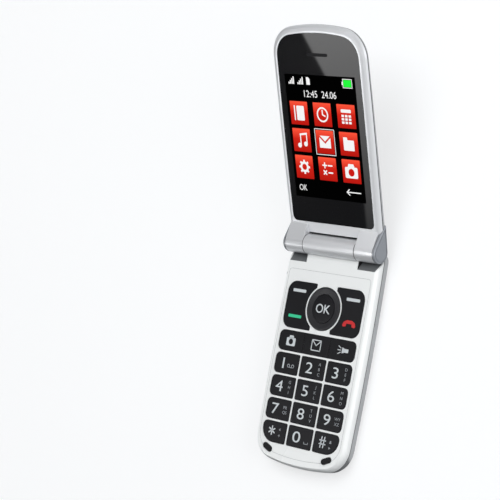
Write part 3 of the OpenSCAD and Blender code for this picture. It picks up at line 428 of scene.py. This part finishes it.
def makeFinish(name, values):
    look = newLook(name, {"Metallic": values.get("metal", 0.0),
                          "Specular IOR Level": values.get("gloss", 0.5)})
    tree = look.node_tree
    surface = surfaceOf(look)
    place = tree.nodes.new("ShaderNodeTexCoord").outputs
    grain = useGroup(tree, surfaceGrain, {
        "Vector": place["Object"], "Colour": (*values["colour"], 1), "Shade": (*values["shade"], 1),
        "Grain Scale": values["grain"], "Roughness Low": values["rough"][0],
        "Roughness High": values["rough"][1]})
    colour = grain["Color"]
    for joint in values.get("joints", []):
        line = useGroup(tree, jointLine,
                        {"Vector": place["Object"], "Normal": place["Normal"], **joints[joint]})
        colour = mixColour(tree, line["Mask"], colour, seam["colour"])
    tree.links.new(colour, surface.inputs["Base Color"])
    tree.links.new(grain["Roughness"], surface.inputs["Roughness"])
    bump = tree.nodes.new("ShaderNodeBump")
    bump.inputs["Strength"].default_value = values["bump"]
    bump.inputs["Distance"].default_value = wear["depth"]
    tree.links.new(grain["Height"], bump.inputs["Height"])
    if "edge" in values:
        soft = tree.nodes.new("ShaderNodeBevel")
        soft.samples = wear["edgeSamples"]
        soft.inputs["Radius"].default_value = values["edge"] * mm
        tree.links.new(soft.outputs["Normal"], bump.inputs["Normal"])
    tree.links.new(bump.outputs["Normal"], surface.inputs["Normal"])
    return look


looks = {name: makeFinish(name, values) for name, values in finishes.items()}
ownLook = {"hinge_caps": "cap_silver", "earpiece_mesh": "gap_dark_and_painted_shade", "lid_back_cover": "back_silver"}
for part in frame["record"]["subparts"]:
    piece = nodes[part["node"]]
    piece.data.materials.clear()
    piece.data.materials.append(looks[ownLook.get(part["node"], part["material_slot"])])
print("finishes on", len(nodes), "nodes")


inks = {
    "inkWhite": (0.62, 0.66, 0.68),
    "inkSoft": (0.30, 0.32, 0.34),
    "inkGreen": (0.02, 0.58, 0.28),
    "inkRed": (0.60, 0.004, 0.006),
}
inkBase = {"grain": 4000, "rough": (0.45, 0.55), "bump": 0.02}
inkShade = 0.9

lit = {
    "litWhite": (0.92, 0.92, 0.92),
    "litGreen": (0.02, 0.95, 0.05),
    "litBlack": (0.0006, 0.0006, 0.0006),
    "litRed": (0.60, 0.012, 0.008),
}

tileGlow = {
    "low": (0.48, 0.010, 0.006, 1),
    "middle": (0.62, 0.018, 0.010, 1),
    "high": (1.0, 0.09, 0.045, 1),
    "bend": 0.55,
}


def makeLit(name, colour):
    # A flat colour that shines by itself and mirrors nothing
    return newLook(name, {"Base Color": (0, 0, 0, 1), "Roughness": 1.0, "Specular IOR Level": 0.0,
                          "Emission Color": (*colour, 1), "Emission Strength": 1.0})


for name, colour in inks.items():
    shade = [c * inkShade for c in colour]
    looks[name] = makeFinish(name, {"colour": colour, "shade": shade, **inkBase})
for name, colour in lit.items():
    looks[name] = makeLit(name, colour)


def uvParts(tree):
    # The surface's UV, as X and Y
    split = tree.nodes.new("ShaderNodeSeparateXYZ")
    tree.links.new(tree.nodes.new("ShaderNodeUVMap").outputs["UV"], split.inputs[0])
    return split.outputs


def makeTileGlow(values):
    # A tile glows orange at its top and fades to deep red at its foot
    look = makeLit("tileGlow", (1, 1, 1))
    tree = look.node_tree
    fade = tree.nodes.new("ShaderNodeValToRGB")
    fade.color_ramp.elements[0].color = values["low"]
    fade.color_ramp.elements[1].color = values["high"]
    fade.color_ramp.elements.new(values["bend"]).color = values["middle"]
    tree.links.new(uvParts(tree)["Y"], fade.inputs["Fac"])
    tree.links.new(fade.outputs["Color"], surfaceOf(look).inputs["Emission Color"])
    return look


looks["tileGlow"] = makeTileGlow(tileGlow)
print("inks mixed")


def finishPiece(piece, name, look, body, thick, place=Matrix.Identity(4)):
    # Gives a flat drawing its thickness, sets it in its place and hands it to its body
    bpy.context.view_layer.objects.active = piece
    solid = piece.modifiers.new("thickness", "SOLIDIFY")
    solid.thickness = thick
    solid.offset = 1.0
    bpy.ops.object.modifier_apply(modifier=solid.name)
    piece.data.transform(place)
    piece.name = name
    piece.data.name = name
    piece.data.materials.clear()
    piece.data.materials.append(looks[look])
    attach(piece, body)
    piece.select_set(False)


# A capital's share of its type size, and the steps that round off curves
pen = {"capital": 0.73, "letterSteps": 6, "cornerSteps": 5, "discSteps": 32, "ringSteps": 40}


def word(text, height, at, stretch, weight=0.0):
    # A word whose capitals are height tall, with its middle at a point
    bpy.ops.object.text_add(location=(0, 0, 0))
    made = bpy.context.object
    made.data.body = text
    made.data.align_x = "CENTER"
    made.data.size = height / pen["capital"]
    made.data.offset = weight
    made.data.resolution_u = pen["letterSteps"]
    bpy.ops.object.convert(target="MESH")
    made = bpy.context.object
    across = [v.co.x for v in made.data.vertices]
    up = [v.co.y for v in made.data.vertices]
    middle = Vector(((min(across) + max(across)) / 2, (min(up) + max(up)) / 2, 0))
    made.data.transform(Matrix.Translation(Vector((*at, 0)))
                        @ Matrix.Diagonal((stretch, 1, 1, 1)) @ Matrix.Translation(-middle))
    made.select_set(False)
    return made


def slab(low, high, radius=0.0):
    # A flat rectangle between two corners, with round corners
    width, height = high[0] - low[0], high[1] - low[1]
    middle = ((low[0] + high[0]) / 2, (low[1] + high[1]) / 2, 0)
    bpy.ops.mesh.primitive_plane_add(size=1, location=middle)
    made = bpy.context.object
    made.scale = (width, height, 1)
    applyPlace(made)
    if radius > 0:
        # Just under half a side, so that the round corners never meet
        radius = min(radius, width / 2.001, height / 2.001)
        bpy.ops.object.mode_set(mode="EDIT")
        bpy.ops.mesh.select_all(action="SELECT")
        bpy.ops.mesh.bevel(offset=radius, segments=pen["cornerSteps"], affect="VERTICES",
                           clamp_overlap=True)
        bpy.ops.object.mode_set(mode="OBJECT")
    made.select_set(False)
    return made


def stroke(start, end, width, roundEnds=True):
    # A straight pen stroke between two points
    start, end = Vector((*start, 0)), Vector((*end, 0))
    length = (end - start).length + (width if roundEnds else 0)
    made = slab((-length / 2, -width / 2), (length / 2, width / 2), width / 2 if roundEnds else 0)
    angle = math.atan2(end.y - start.y, end.x - start.x)
    made.data.transform(Matrix.Translation((start + end) / 2) @ Matrix.Rotation(angle, 4, "Z"))
    return made


def tooth(start, end, width):
    return stroke(start, end, width, False)


def disc(at, radius):
    bpy.ops.mesh.primitive_circle_add(radius=radius, vertices=pen["discSteps"], fill_type="NGON",
                                      location=(*at, 0))
    made = applyPlace(bpy.context.object)
    made.select_set(False)
    return made


def ringBand(at, radius, width):
    # A flat ring: a circle whose rim is extruded inwards
    bpy.ops.mesh.primitive_circle_add(radius=radius, vertices=pen["ringSteps"],
                                      fill_type="NOTHING", location=(*at, 0))
    made = applyPlace(bpy.context.object)
    bpy.ops.object.mode_set(mode="EDIT")
    bpy.ops.mesh.select_all(action="SELECT")
    bpy.ops.mesh.extrude_edges_move()
    inside = (radius - width) / radius
    bpy.ops.transform.resize(value=(inside, inside, 1), center_override=(*at, 0))
    bpy.ops.object.mode_set(mode="OBJECT")
    made.select_set(False)
    return made


def face(*points):
    # A flat face through a few corners
    bpy.ops.mesh.primitive_circle_add(vertices=len(points), fill_type="NGON")
    made = bpy.context.object
    for vertex, (x, y) in zip(made.data.vertices, points):
        vertex.co = (x, y, 0)
    made.select_set(False)
    return made


def gather(parts):
    # Joins flat drawings into one that faces up
    bpy.ops.object.select_all(action="DESELECT")
    for part in parts:
        part.select_set(True)
    bpy.context.view_layer.objects.active = parts[0]
    if len(parts) > 1:
        bpy.ops.object.join()
    made = bpy.context.object
    bpy.ops.object.mode_set(mode="EDIT")
    bpy.ops.mesh.select_all(action="SELECT")
    bpy.ops.mesh.normals_make_consistent(inside=False)
    bpy.ops.object.mode_set(mode="OBJECT")
    if made.data.polygons and made.data.polygons[0].normal.z < 0:
        made.data.flip_normals()
    return made


def outlineOf(node, turn):
    # Corners of a node's plan at its top face, in order round it, to a micrometre
    level = 0.02 * mm
    points = [turn @ v.co for v in nodes[node].data.vertices]
    top = max(p.z for p in points)
    flat = sorted({(round(p.x, 6), round(p.y, 6)) for p in points if p.z > top - level})
    around = []
    for way in (flat, flat[::-1]):
        chain = []
        for p in way:
            while len(chain) > 1 and ((chain[-1][0] - chain[-2][0]) * (p[1] - chain[-2][1])
                                      <= (chain[-1][1] - chain[-2][1]) * (p[0] - chain[-2][0])):
                chain.pop()
            chain.append(p)
        around += chain[:-1]
    return around, top


def band(points, inner, outer):
    # A flat band round an outline, from inner to outer beyond it
    bpy.ops.mesh.primitive_circle_add(vertices=len(points), fill_type="NOTHING")
    made = bpy.context.object
    bpy.ops.object.mode_set(mode="EDIT")
    bpy.ops.mesh.select_all(action="SELECT")
    bpy.ops.mesh.extrude_edges_move()
    bpy.ops.object.mode_set(mode="OBJECT")
    count = len(points)
    for k in range(count):
        before, here, after = (Vector(points[(k + d) % count]) for d in (-1, 0, 1))
        along = ((here - before).normalized() + (after - here).normalized()).normalized()
        out = Vector((along.y, -along.x))
        for index, far in ((k, inner), (count + k, outer)):
            place = here + out * far
            made.data.vertices[index].co = (place.x, place.y, 0)
    made.select_set(False)
    return made


def lines(points, width):
    # Strokes from each point to the next
    return [(stroke, pair, [width]) for pair in zip(points, points[1:])]


def frameAround(low, high):
    return [(low[0], low[1]), (high[0], low[1]), (high[0], high[1]), (low[0], high[1]),
            (low[0], low[1])]


def spoke(angle, low, high, middle=(0, 0)):
    # Two points on a line through the middle
    a = math.radians(angle)
    return [(middle[0] + far * math.cos(a), middle[1] + far * math.sin(a)) for far in (low, high)]


# A sign is a list of forms, each with its points and its lengths. These are counted in the
# sign's height, or in millimetres where the sign is drawn with a size of one millimetre
signs = {
    "camera": [(slab, [(-0.5, -0.42), (0.5, 0.26)], [0.1]),
               (face, [(-0.3, 0.2), (0.3, 0.2), (0.2, 0.45), (-0.2, 0.45)], [])],
    "cameraHole": [(disc, [(0, -0.07)], [0.235])],
    "letter": lines(frameAround((-0.46, -0.4), (0.46, 0.4)), 0.075)
              + lines([(-0.42, 0.36), (0.0, -0.02), (0.42, 0.36)], 0.075),
    "torch": [(face, [(-0.08, -0.21), (0.12, -0.15), (0.12, 0.15), (-0.08, 0.21)], []),
              (slab, [(0.08, -0.13), (0.5, 0.13)], [0.04]),
              (stroke, [(-0.2, 0.0), (-0.46, 0.0)], [0.055]),
              (stroke, [(-0.19, 0.14), (-0.42, 0.27)], [0.055]),
              (stroke, [(-0.19, -0.14), (-0.42, -0.27)], [0.055])],
    "receiver": [(face, [(-0.5, -0.12), (-0.42, 0.08), (-0.2, 0.2), (0.2, 0.2), (0.42, 0.08),
                         (0.5, -0.12), (0.42, -0.2), (0.22, -0.16), (0.2, 0.0), (-0.2, 0.0),
                         (-0.22, -0.16), (-0.42, -0.2)], [])],
    "tape": [(ringBand, [(-0.3, 0)], [0.2, 0.08]), (ringBand, [(0.3, 0)], [0.2, 0.08]),
             (stroke, [(-0.3, -0.16), (0.3, -0.16)], [0.08])],
    "bell": [(face, [(-0.42, -0.4), (0.42, -0.4), (0.26, -0.1), (0.2, 0.34), (-0.2, 0.34),
                     (-0.26, -0.1)], [])],
    "book": [(slab, [(-0.2, -0.45), (0.42, 0.45)], [0.08]),
             (stroke, [(-0.36, -0.42), (-0.36, 0.42)], [0.09])],
    "clock": [(ringBand, [(0, 0)], [0.46, 0.1]), (stroke, [(0, 0), (0, 0.26)], [0.09]),
              (stroke, [(0, 0), (0.2, -0.08)], [0.09])],
    "calendar": [(slab, [(-0.4, 0.22), (0.4, 0.42)], [0.05])]
                + [(slab, [(x - 0.1, y - 0.07), (x + 0.1, y + 0.07)], [0.02])
                   for x in (-0.28, 0, 0.28) for y in (0.02, -0.18, -0.38)],
    "music": [(disc, [(-0.2, -0.32)], [0.15]), (disc, [(0.3, -0.22)], [0.15]),
              (stroke, [(-0.09, -0.3), (-0.09, 0.35)], [0.08]),
              (stroke, [(0.41, -0.2), (0.41, 0.42)], [0.08]),
              (stroke, [(-0.09, 0.35), (0.41, 0.42)], [0.12])],
    "envelope": [(face, [(-0.45, -0.36), (0.45, -0.36), (0.45, 0.28), (0.0, -0.1),
                         (-0.45, 0.28)], []),
                 (face, [(-0.4, 0.38), (0.0, 0.04), (0.4, 0.38)], [])],
    "folder": [(slab, [(-0.42, -0.4), (0.42, 0.24)], [0.05]),
               (face, [(-0.42, 0.1), (-0.05, 0.1), (-0.12, 0.4), (-0.42, 0.4)], [])],
    "gear": [(tooth, spoke(45 * k, 0.3, 0.44), [0.13]) for k in range(8)]
            + [(ringBand, [(0, 0)], [0.34, 0.15])],
    "calculator": [(stroke, spoke(angle, -0.15, 0.15, middle), [0.09])
                   for middle, angles in (((-0.22, 0.22), (0, 90)), ((0.22, 0.22), (0,)),
                                          ((-0.22, -0.22), (45, 135)), ((0.22, -0.22), (0,)))
                   for angle in angles],
    # Counted in millimetres from here on
    "space": lines([(3.3, -1.5), (3.3, -2.3), (5.7, -2.3), (5.7, -1.5)], 0.28),
    "star": [(stroke, spoke(90 + 60 * k, -1.95, 1.95), [0.62]) for k in range(3)],
    "starMarks": lines([(4.0, 1.9), (3.2, 1.5), (4.0, 1.1)], 0.28)
                 + lines([(3.3, -1.3), (4.3, -1.3)], 0.28)
                 + lines([(3.8, -1.8), (3.8, -0.8)], 0.28),
    "hash": [form for side in (-0.85, 0.85)
             for form in ((stroke, [(side - 0.2, -2.4), (side + 0.2, 2.4)], [0.55]),
                          (stroke, [(-1.8, side), (1.8, side)], [0.55]))],
    "arrow": [(face, [(2.4, -1.0), (2.4, -2.2), (3.4, -1.6)], [])],
    "dash": [(slab, [(-4.05, -0.7), (4.05, 0.7)], [0.35])],
    "signal": [(slab, [(x + 0.95 * k, 0), (x + 0.95 * k + 0.7, 0.9 + 0.85 * k)], [])
               for x in (0, 5.6) for k in range(4)]
              + [(face, [(11.2, 0), (13.4, 0), (13.4, 2.6), (12.6, 3.5), (11.2, 3.5)], [])],
    "battery": lines(frameAround((0, 0), (5.4, 3.9)), 0.3)
               + [(slab, [(-0.7, 1.2), (-0.1, 2.7)], [])],
    "charge": [(slab, [(0.35, 0.35), (5.05, 3.55)], [0.2])],
    "back": lines([(-4.2, 0), (4.0, 0)], 0.5) + lines([(-2.7, 1.3), (-4.2, 0), (-2.7, -1.3)], 0.5),
}


def draw(forms, size, at):
    # The forms of a sign at its size and place
    return [make(*((at[0] + x * size, at[1] + y * size) for x, y in points),
                 *(length * size for length in lengths))
            for make, points, lengths in forms]


legend = {
    "digitHeight": 5.3 * mm,
    "digitStretch": 1.34,
    "zeroStretch": 1.12,
    "digitShift": -1.75 * mm,
    "letterHeight": 1.45 * mm,
    "letterStretch": 1.1,
    "letterShift": 4.5 * mm,
    "letterStep": 2.35 * mm,
    "lift": 0.01 * mm,
    "holeLift": 0.04 * mm,
    "thick": 0.03 * mm,
}

letters = {
    "key_2": ["A", "B", "C"], "key_3": ["D", "E", "F"], "key_4": ["G", "H", "I"],
    "key_5": ["J", "K", "L"], "key_6": ["M", "N", "O"], "key_7": ["PR", "QS"],
    "key_8": ["T", "U", "V"], "key_9": ["WY", "XZ"],
}


def middleOf(node):
    low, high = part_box(node)
    return (low.x + high.x) / 2, (low.y + high.y) / 2, high.z


def printOn(node, name, parts, look="inkWhite", above=0.0):
    # Lays flat parts, with places counted from the key's middle, on a key
    x, y, top = middleOf(node)
    place = Matrix.Translation((x, y, top + legend["lift"] + above))
    finishPiece(gather(parts), name, look, node, legend["thick"], place)


def printDigits():
    for digit in range(10):
        node = "key_" + str(digit)
        text = "I" if digit == 1 else str(digit)  # the one is a plain bar
        wide = legend["digitStretch"] * (legend["zeroStretch"] if digit == 0 else 1.0)
        printOn(node, "digit_" + str(digit),
                [word(text, legend["digitHeight"], (legend["digitShift"], 0), wide)])
        rows = letters.get(node, [])
        small = []
        for k, text in enumerate(rows):
            at = (legend["letterShift"], ((len(rows) - 1) / 2 - k) * legend["letterStep"])
            small.append(word(text, legend["letterHeight"], at, legend["letterStretch"]))
        if small:
            printOn(node, "letters_" + str(digit), small, "inkSoft")


printDigits()
print("digits printed")


# Node, name of the piece, its signs with their sizes and places from the key's middle, and ink
keySigns = [
    ("key_1", "tape_1", [("tape", 4.4 * mm, (3.0 * mm, -0.9 * mm))], "inkSoft"),
    ("key_0", "space_0", [("space", mm, (0, 0))], "inkSoft"),
    ("key_star", "star_sign", [("star", mm, (-1.2 * mm, 0.5 * mm))], "inkWhite"),
    ("key_star", "star_marks", [("starMarks", mm, (0, 0))], "inkSoft"),
    ("key_hash", "hash_sign", [("hash", mm, (-1.9 * mm, 0.4 * mm))], "inkWhite"),
    ("key_hash", "hash_marks", [("bell", 1.7 * mm, (2.9 * mm, 1.2 * mm)), ("arrow", mm, (0, 0))],
     "inkSoft"),
    ("key_camera", "camera_sign", [("camera", 5.6 * mm, (0, 0))], "inkWhite"),
    ("key_camera", "camera_hole", [("cameraHole", 5.6 * mm, (0, 0))], "key_black"),
    ("key_message", "letter_sign", [("letter", 6.0 * mm, (0, 0))], "inkWhite"),
    ("key_torch", "torch_sign", [("torch", 6.6 * mm, (0.6 * mm, 0))], "inkWhite"),
]
for node, name, drawn, look in keySigns:
    parts = [part for sign, size, at in drawn for part in draw(signs[sign], size, at)]
    # The dark hole lies on its sign
    printOn(node, name, parts, look, legend["holeLift"] if look == "key_black" else 0.0)
print("key signs printed")


# Node, name of the piece, sign, size, place from the hinge axis, and ink
rockerSigns = [
    ("rocker_left", "dash_left", "dash", mm, (-16.25 * mm, -22.2 * mm), "inkWhite"),
    ("rocker_right", "dash_right", "dash", mm, (17.3 * mm, -22.6 * mm), "inkWhite"),
    ("rocker_left", "dash_call", "dash", mm, (-16.5 * mm, -34.3 * mm), "inkGreen"),
    ("rocker_right", "handset_end", "receiver", 8.0 * mm, (17.3 * mm, -33.6 * mm), "inkRed"),
]
for node, name, sign, size, at, look in rockerSigns:
    place = Matrix.Translation((0, hinge["pos_m"][1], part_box(node)[1].z + legend["lift"]))
    finishPiece(gather(draw(signs[sign], size, at)), name, look, node,
                legend["thick"], place)


okWord = {
    "height": 4.3 * mm,
    "stretch": 1.02,
    "weight": 0.05 * mm,
    "cuts": 2,
    "drop": 1 * mm,
    "lift": 0.015 * mm,
}


def printOk(values):
    # The word follows the low dome of the key
    piece = gather([word("OK", values["height"], (0, 0), values["stretch"], values["weight"])])
    bpy.ops.object.mode_set(mode="EDIT")
    bpy.ops.mesh.select_all(action="SELECT")
    bpy.ops.mesh.quads_convert_to_tris()
    bpy.ops.mesh.subdivide(number_cuts=values["cuts"])
    bpy.ops.object.mode_set(mode="OBJECT")
    x, y, top = middleOf("ok_key")
    piece.data.transform(Matrix.Translation((x, y, top + values["drop"])))
    press = piece.modifiers.new("press", "SHRINKWRAP")
    press.target = nodes["ok_key"]
    press.wrap_method = "PROJECT"
    press.use_project_z = True
    press.use_negative_direction = True
    press.offset = values["lift"]
    bpy.ops.object.modifier_apply(modifier=press.name)
    finishPiece(piece, "ok_word", "inkWhite", "ok_key", legend["thick"])


printOk(okWord)
print("rocker signs printed")


# Places in a notch, where sheets of painted shade are laid, are (y, z) from the hinge axis
notch = {
    "inner": 15.9 * mm,
    "outer": (26.3 * mm, 27.3 * mm),
    "slope": ((-8.62 * mm, -0.34 * mm), (-3.15 * mm, -4.25 * mm)),
    "bottom": (-1.6 * mm, -5.02 * mm),
    "cheek": [(-8.62 * mm, -0.34 * mm), (-3.15 * mm, -4.25 * mm), (-4.9 * mm, -0.34 * mm)],
    "thick": 0.03 * mm,
}

barrelJoint = {
    "radius": 4.812 * mm,
    "width": 0.3 * mm,
    "steps": 64,
    "place": 15.9 * mm,
    "thick": 0.012 * mm,
}


def notchLining(side, name):
    # Painted shade: a dark sheet on the ramp that a knuckle turns into, and on the bottom below it
    bpy.ops.mesh.primitive_plane_add(size=2)
    made = bpy.context.object
    hy, hz = hinge["pos_m"][1:]
    for vertex in made.data.vertices:
        low = vertex.co.y > 0
        y, z = notch["slope"][1 if low else 0]
        x = notch["inner"] if vertex.co.x < 0 else notch["outer"][1 if low else 0]
        vertex.co = (x, hy + y, hz + z)
        vertex.select = low
    for edge in made.data.edges:
        edge.select = all(made.data.vertices[k].select for k in edge.vertices)
    for polygon in made.data.polygons:
        polygon.select = False
    onward = [end - start for start, end in zip(notch["slope"][1], notch["bottom"])]
    bpy.ops.object.mode_set(mode="EDIT")
    bpy.ops.mesh.extrude_edges_move(TRANSFORM_OT_translate={"value": (0, *onward)})
    bpy.ops.object.mode_set(mode="OBJECT")
    if side < 0:
        for vertex in made.data.vertices:
            vertex.co.x = -vertex.co.x
        made.data.flip_normals()
    finishPiece(made, name, "notch_painted_shade", "base", notch["thick"])


def notchCheek(side, name):
    # Painted shade: a dark sheet on the notch's inner wall
    bpy.ops.mesh.primitive_circle_add(vertices=len(notch["cheek"]), fill_type="NGON")
    made = bpy.context.object
    hy, hz = hinge["pos_m"][1:]
    for vertex, (y, z) in zip(made.data.vertices, notch["cheek"]):
        vertex.co = (side * notch["inner"], hy + y, hz + z)
    made.data.update()
    if made.data.polygons[0].normal.x * side < 0:
        made.data.flip_normals()
    finishPiece(made, name, "gap_dark_and_painted_shade", "base", notch["thick"])


def gapRing(side, name):
    # The dark joint between the barrel and a knuckle
    bpy.ops.mesh.primitive_cylinder_add(
        radius=barrelJoint["radius"], depth=barrelJoint["width"], vertices=barrelJoint["steps"],
        end_fill_type="NOTHING", location=(side * barrelJoint["place"], *hinge["pos_m"][1:]),
        rotation=(0, math.pi / 2, 0))
    finishPiece(applyPlace(bpy.context.object), name, "gap_dark_and_painted_shade", "base",
                barrelJoint["thick"])


for make, start in ((notchLining, "notch_lining_"), (notchCheek, "notch_cheek_"),
                    (gapRing, "gap_ring_")):
    make(-1, start + "left")
    make(1, start + "right")


trim = {
    # The rim is a painted highlight round the window; the slot and the gap are painted shade
    "rim": (0.05 * mm, 0.42 * mm),
    "rimThick": 0.04 * mm,
    "slotMore": 0.1 * mm,
    "slotRound": 0.8 * mm,
    "slotLift": 0.005 * mm,
    "gap": ((-15.7 * mm, 5.15 * mm), (15.7 * mm, 5.7 * mm)),
    "gapHeight": -0.69 * mm,
    "joint": (-0.02 * mm, 0.12 * mm),
    "thick": 0.01 * mm,
}


def placeTrim(values):
    # Painted highlight: a bright band round the window, where the frame's inner lip catches the light
    points, top = outlineOf("display_window", lidFrame.inverted())
    finishPiece(gather([band(points, *values["rim"])]), "window_rim_highlight", "rim_painted_highlight", "lid",
                values["rimThick"], lidFrame @ Matrix.Translation((0, 0, top)))
    # Painted shade: a dark sheet over the earpiece's slot
    points = [lidFrame.inverted() @ v.co for v in nodes["earpiece_mesh"].data.vertices]
    more = values["slotMore"]
    slot = slab((min(p.x for p in points) - more, min(p.y for p in points) - more),
                (max(p.x for p in points) + more, max(p.y for p in points) + more),
                values["slotRound"])
    height = windowTop + values["slotLift"]
    finishPiece(gather([slot]), "earpiece_shade", "gap_dark_and_painted_shade", "lid",
                values["thick"], lidFrame @ Matrix.Translation((0, 0, height)))
    # Painted shade: a dark strip in the gap between the lid and the barrel
    finishPiece(gather([slab(*values["gap"])]), "barrel_gap_shade", "gap_dark_and_painted_shade", "lid",
                values["thick"], lidFrame @ Matrix.Translation((0, 0, values["gapHeight"])))
    # The thin joint round the keypad
    points, top = outlineOf("keypad_panel", Matrix.Identity(4))
    finishPiece(gather([band(points, *values["joint"])]), "panel_joint", "seam_grey", "base",
                values["thick"], Matrix.Translation((0, 0, top)))


placeTrim(trim)
print("trim placed")


screen = {
    "width": 43.2 * mm,
    "height": 57.6 * mm,
    "low": 22.5 * mm,
    "round": 0.2 * mm,
    "lift": 0.02 * mm,
    "thick": 0.01 * mm,
    "tile": (10.9 * mm, 10.9 * mm),
    "tileRound": 0.3 * mm,
    "columns": (1.6 * mm, 16.1 * mm, 30.6 * mm),
    "rows": (12.6 * mm, 25.3 * mm, 37.9 * mm),
    "signSize": 7.6 * mm,
    "signs": [["book", "clock", "calendar"], ["music", "envelope", "folder"],
              ["gear", "calculator", "camera"]],
    "chosen": (1, 1),
    "chosenGap": 0.5 * mm,
    "chosenPen": 0.3 * mm,
}
screenTop = screen["low"] + screen["height"]
screenLeft = -screen["width"] / 2


def onScreen(parts, name, look, layer):
    place = lidFrame @ Matrix.Translation((0, 0, windowTop + screen["lift"] * layer))
    finishPiece(gather(parts), name, look, "lid", screen["thick"], place)


def fromCorner(x, y):
    # Place on the picture, counted right and down from its upper left corner
    return screenLeft + x, screenTop - y


def tileAt(column, row):
    # A tile whose UV runs from 0 to 1, and its middle
    x, y = fromCorner(screen["columns"][column], screen["rows"][row])
    width, height = screen["tile"]
    made = slab((x, y - height), (x + width, y), screen["tileRound"])
    uv = made.data.uv_layers.active or made.data.uv_layers.new(name="tile")
    for corner, loop in zip(uv.data, made.data.loops):
        point = made.data.vertices[loop.vertex_index].co
        corner.uv = ((point.x - x) / width, (point.y - y + height) / height)
    return made, (x + width / 2, y - height / 2)


def makeTiles():
    for row, across in enumerate(screen["signs"]):
        for column, sign in enumerate(across):
            tile, middle = tileAt(column, row)
            name = "tile_" + str(row * len(across) + column + 1)
            onScreen([tile], name, "tileGlow", 2)
            onScreen(draw(signs[sign], screen["signSize"], middle), name + "_sign", "litWhite", 3)
            if sign == "camera":
                onScreen(draw(signs["cameraHole"], screen["signSize"], middle), name + "_hole",
                         "litRed", 4)


# Sign, name of the piece, its look and its place from the picture's corner
statusSigns = [
    ("signal", "signal_bars", "litWhite", (2.2 * mm, 4.6 * mm)),
    ("battery", "battery_outline", "litWhite", (35.8 * mm, 5.0 * mm)),
    ("charge", "battery_charge", "litGreen", (35.8 * mm, 5.0 * mm)),
]

# Text, name of the piece, height, place and stretch
screenWords = [
    ("12:45  24.06", "clock_digits", 3.3 * mm, (21.2 * mm, 8.8 * mm), 0.92),
    ("OK", "soft_ok", 2.9 * mm, (5.0 * mm, 53.2 * mm), 0.85),
]
backPlace = (36.4 * mm, 53.2 * mm)


def makeStatus():
    for sign, name, look, place in statusSigns:
        onScreen(draw(signs[sign], mm, fromCorner(*place)), name, look, 2)


def makeWords():
    for text, name, height, place, stretch in screenWords:
        onScreen([word(text, height, fromCorner(*place), stretch)], name, "litWhite", 2)
    onScreen(draw(signs["back"], mm, fromCorner(*backPlace)), "soft_back", "litWhite", 2)


def makeChosenFrame():
    column, row = screen["chosen"]
    x, y = fromCorner(screen["columns"][column], screen["rows"][row])
    width, height = screen["tile"]
    gap = screen["chosenGap"]
    around = frameAround((x - gap, y - height - gap), (x + width + gap, y + gap))
    onScreen(draw(lines(around, screen["chosenPen"]), 1, (0, 0)), "chosen_frame", "litWhite", 2)


ground = slab((screenLeft, screen["low"]), (-screenLeft, screenTop), screen["round"])
onScreen([ground], "picture_ground", "litBlack", 1)
makeTiles()
makeStatus()
makeWords()
makeChosenFrame()
print("picture drawn")


card = {
    "height": 60 * mm,
    "low": (-27 * mm, 8 * mm),
    "high": (27 * mm, 104 * mm),
    "dark": 0.06,
    "bright": (0.6, 2.8),
    "climb": (12 * mm, 98 * mm),
    "blur": (-0.4 * mm, 1.2 * mm),
    "edge": {"left": -8 * mm, "top": 99 * mm, "slope": 0.605, "stop": 20 * mm},
}


def makeCardGlow(values):
    # Lit on the far side of a slanted edge, brighter towards its top
    look = bpy.data.materials.new("cardGlow")
    look.use_nodes = True
    tree = look.node_tree
    tree.nodes.clear()
    spot = uvParts(tree)
    edge = values["edge"]
    start = edge["left"] + edge["top"] * edge["slope"]
    slant = maths(tree, "MULTIPLY_ADD", spot["Y"], -edge["slope"], start)
    slant = maths(tree, "MINIMUM", slant, edge["stop"])
    mask = ramp(tree, maths(tree, "SUBTRACT", spot["X"], slant), 0.0, 1.0, *values["blur"])
    bright = ramp(tree, spot["Y"], *values["bright"], *values["climb"])
    level = maths(tree, "MAXIMUM", maths(tree, "MULTIPLY", mask, bright), values["dark"])
    glow = lightFrom(tree, "ShaderNodeEmission", white, level)
    tree.links.new(glow, tree.nodes.new("ShaderNodeOutputMaterial").inputs["Surface"])
    return look


def cardCorner(values, point):
    # The corner of the card that a vertex stands for
    across, up = ("high" if side > 0 else "low" for side in (point.x, point.y))
    return values[across][0], values[up][1]


def makeCard(values):
    # A card over the window, set where the eye finds it mirrored in the glass
    eye = lidFrame.inverted() @ Vector(camera["place"])
    rise = eye.z - windowTop
    grow = (rise + values["height"]) / rise
    bpy.ops.mesh.primitive_plane_add(size=2)
    made = bpy.context.object
    made.name = "studioCard"
    for corner, loop in zip(made.data.uv_layers.active.data, made.data.loops):
        corner.uv = cardCorner(values, made.data.vertices[loop.vertex_index].co)
    for vertex in made.data.vertices:
        x, y = cardCorner(values, vertex.co)
        vertex.co = (eye.x + (x - eye.x) * grow, eye.y + (y - eye.y) * grow,
                     windowTop + values["height"])
    made.data.transform(lidFrame)
    made.data.materials.append(makeCardGlow(values))
    showToGloss(made)


makeCard(card)
print("card placed")
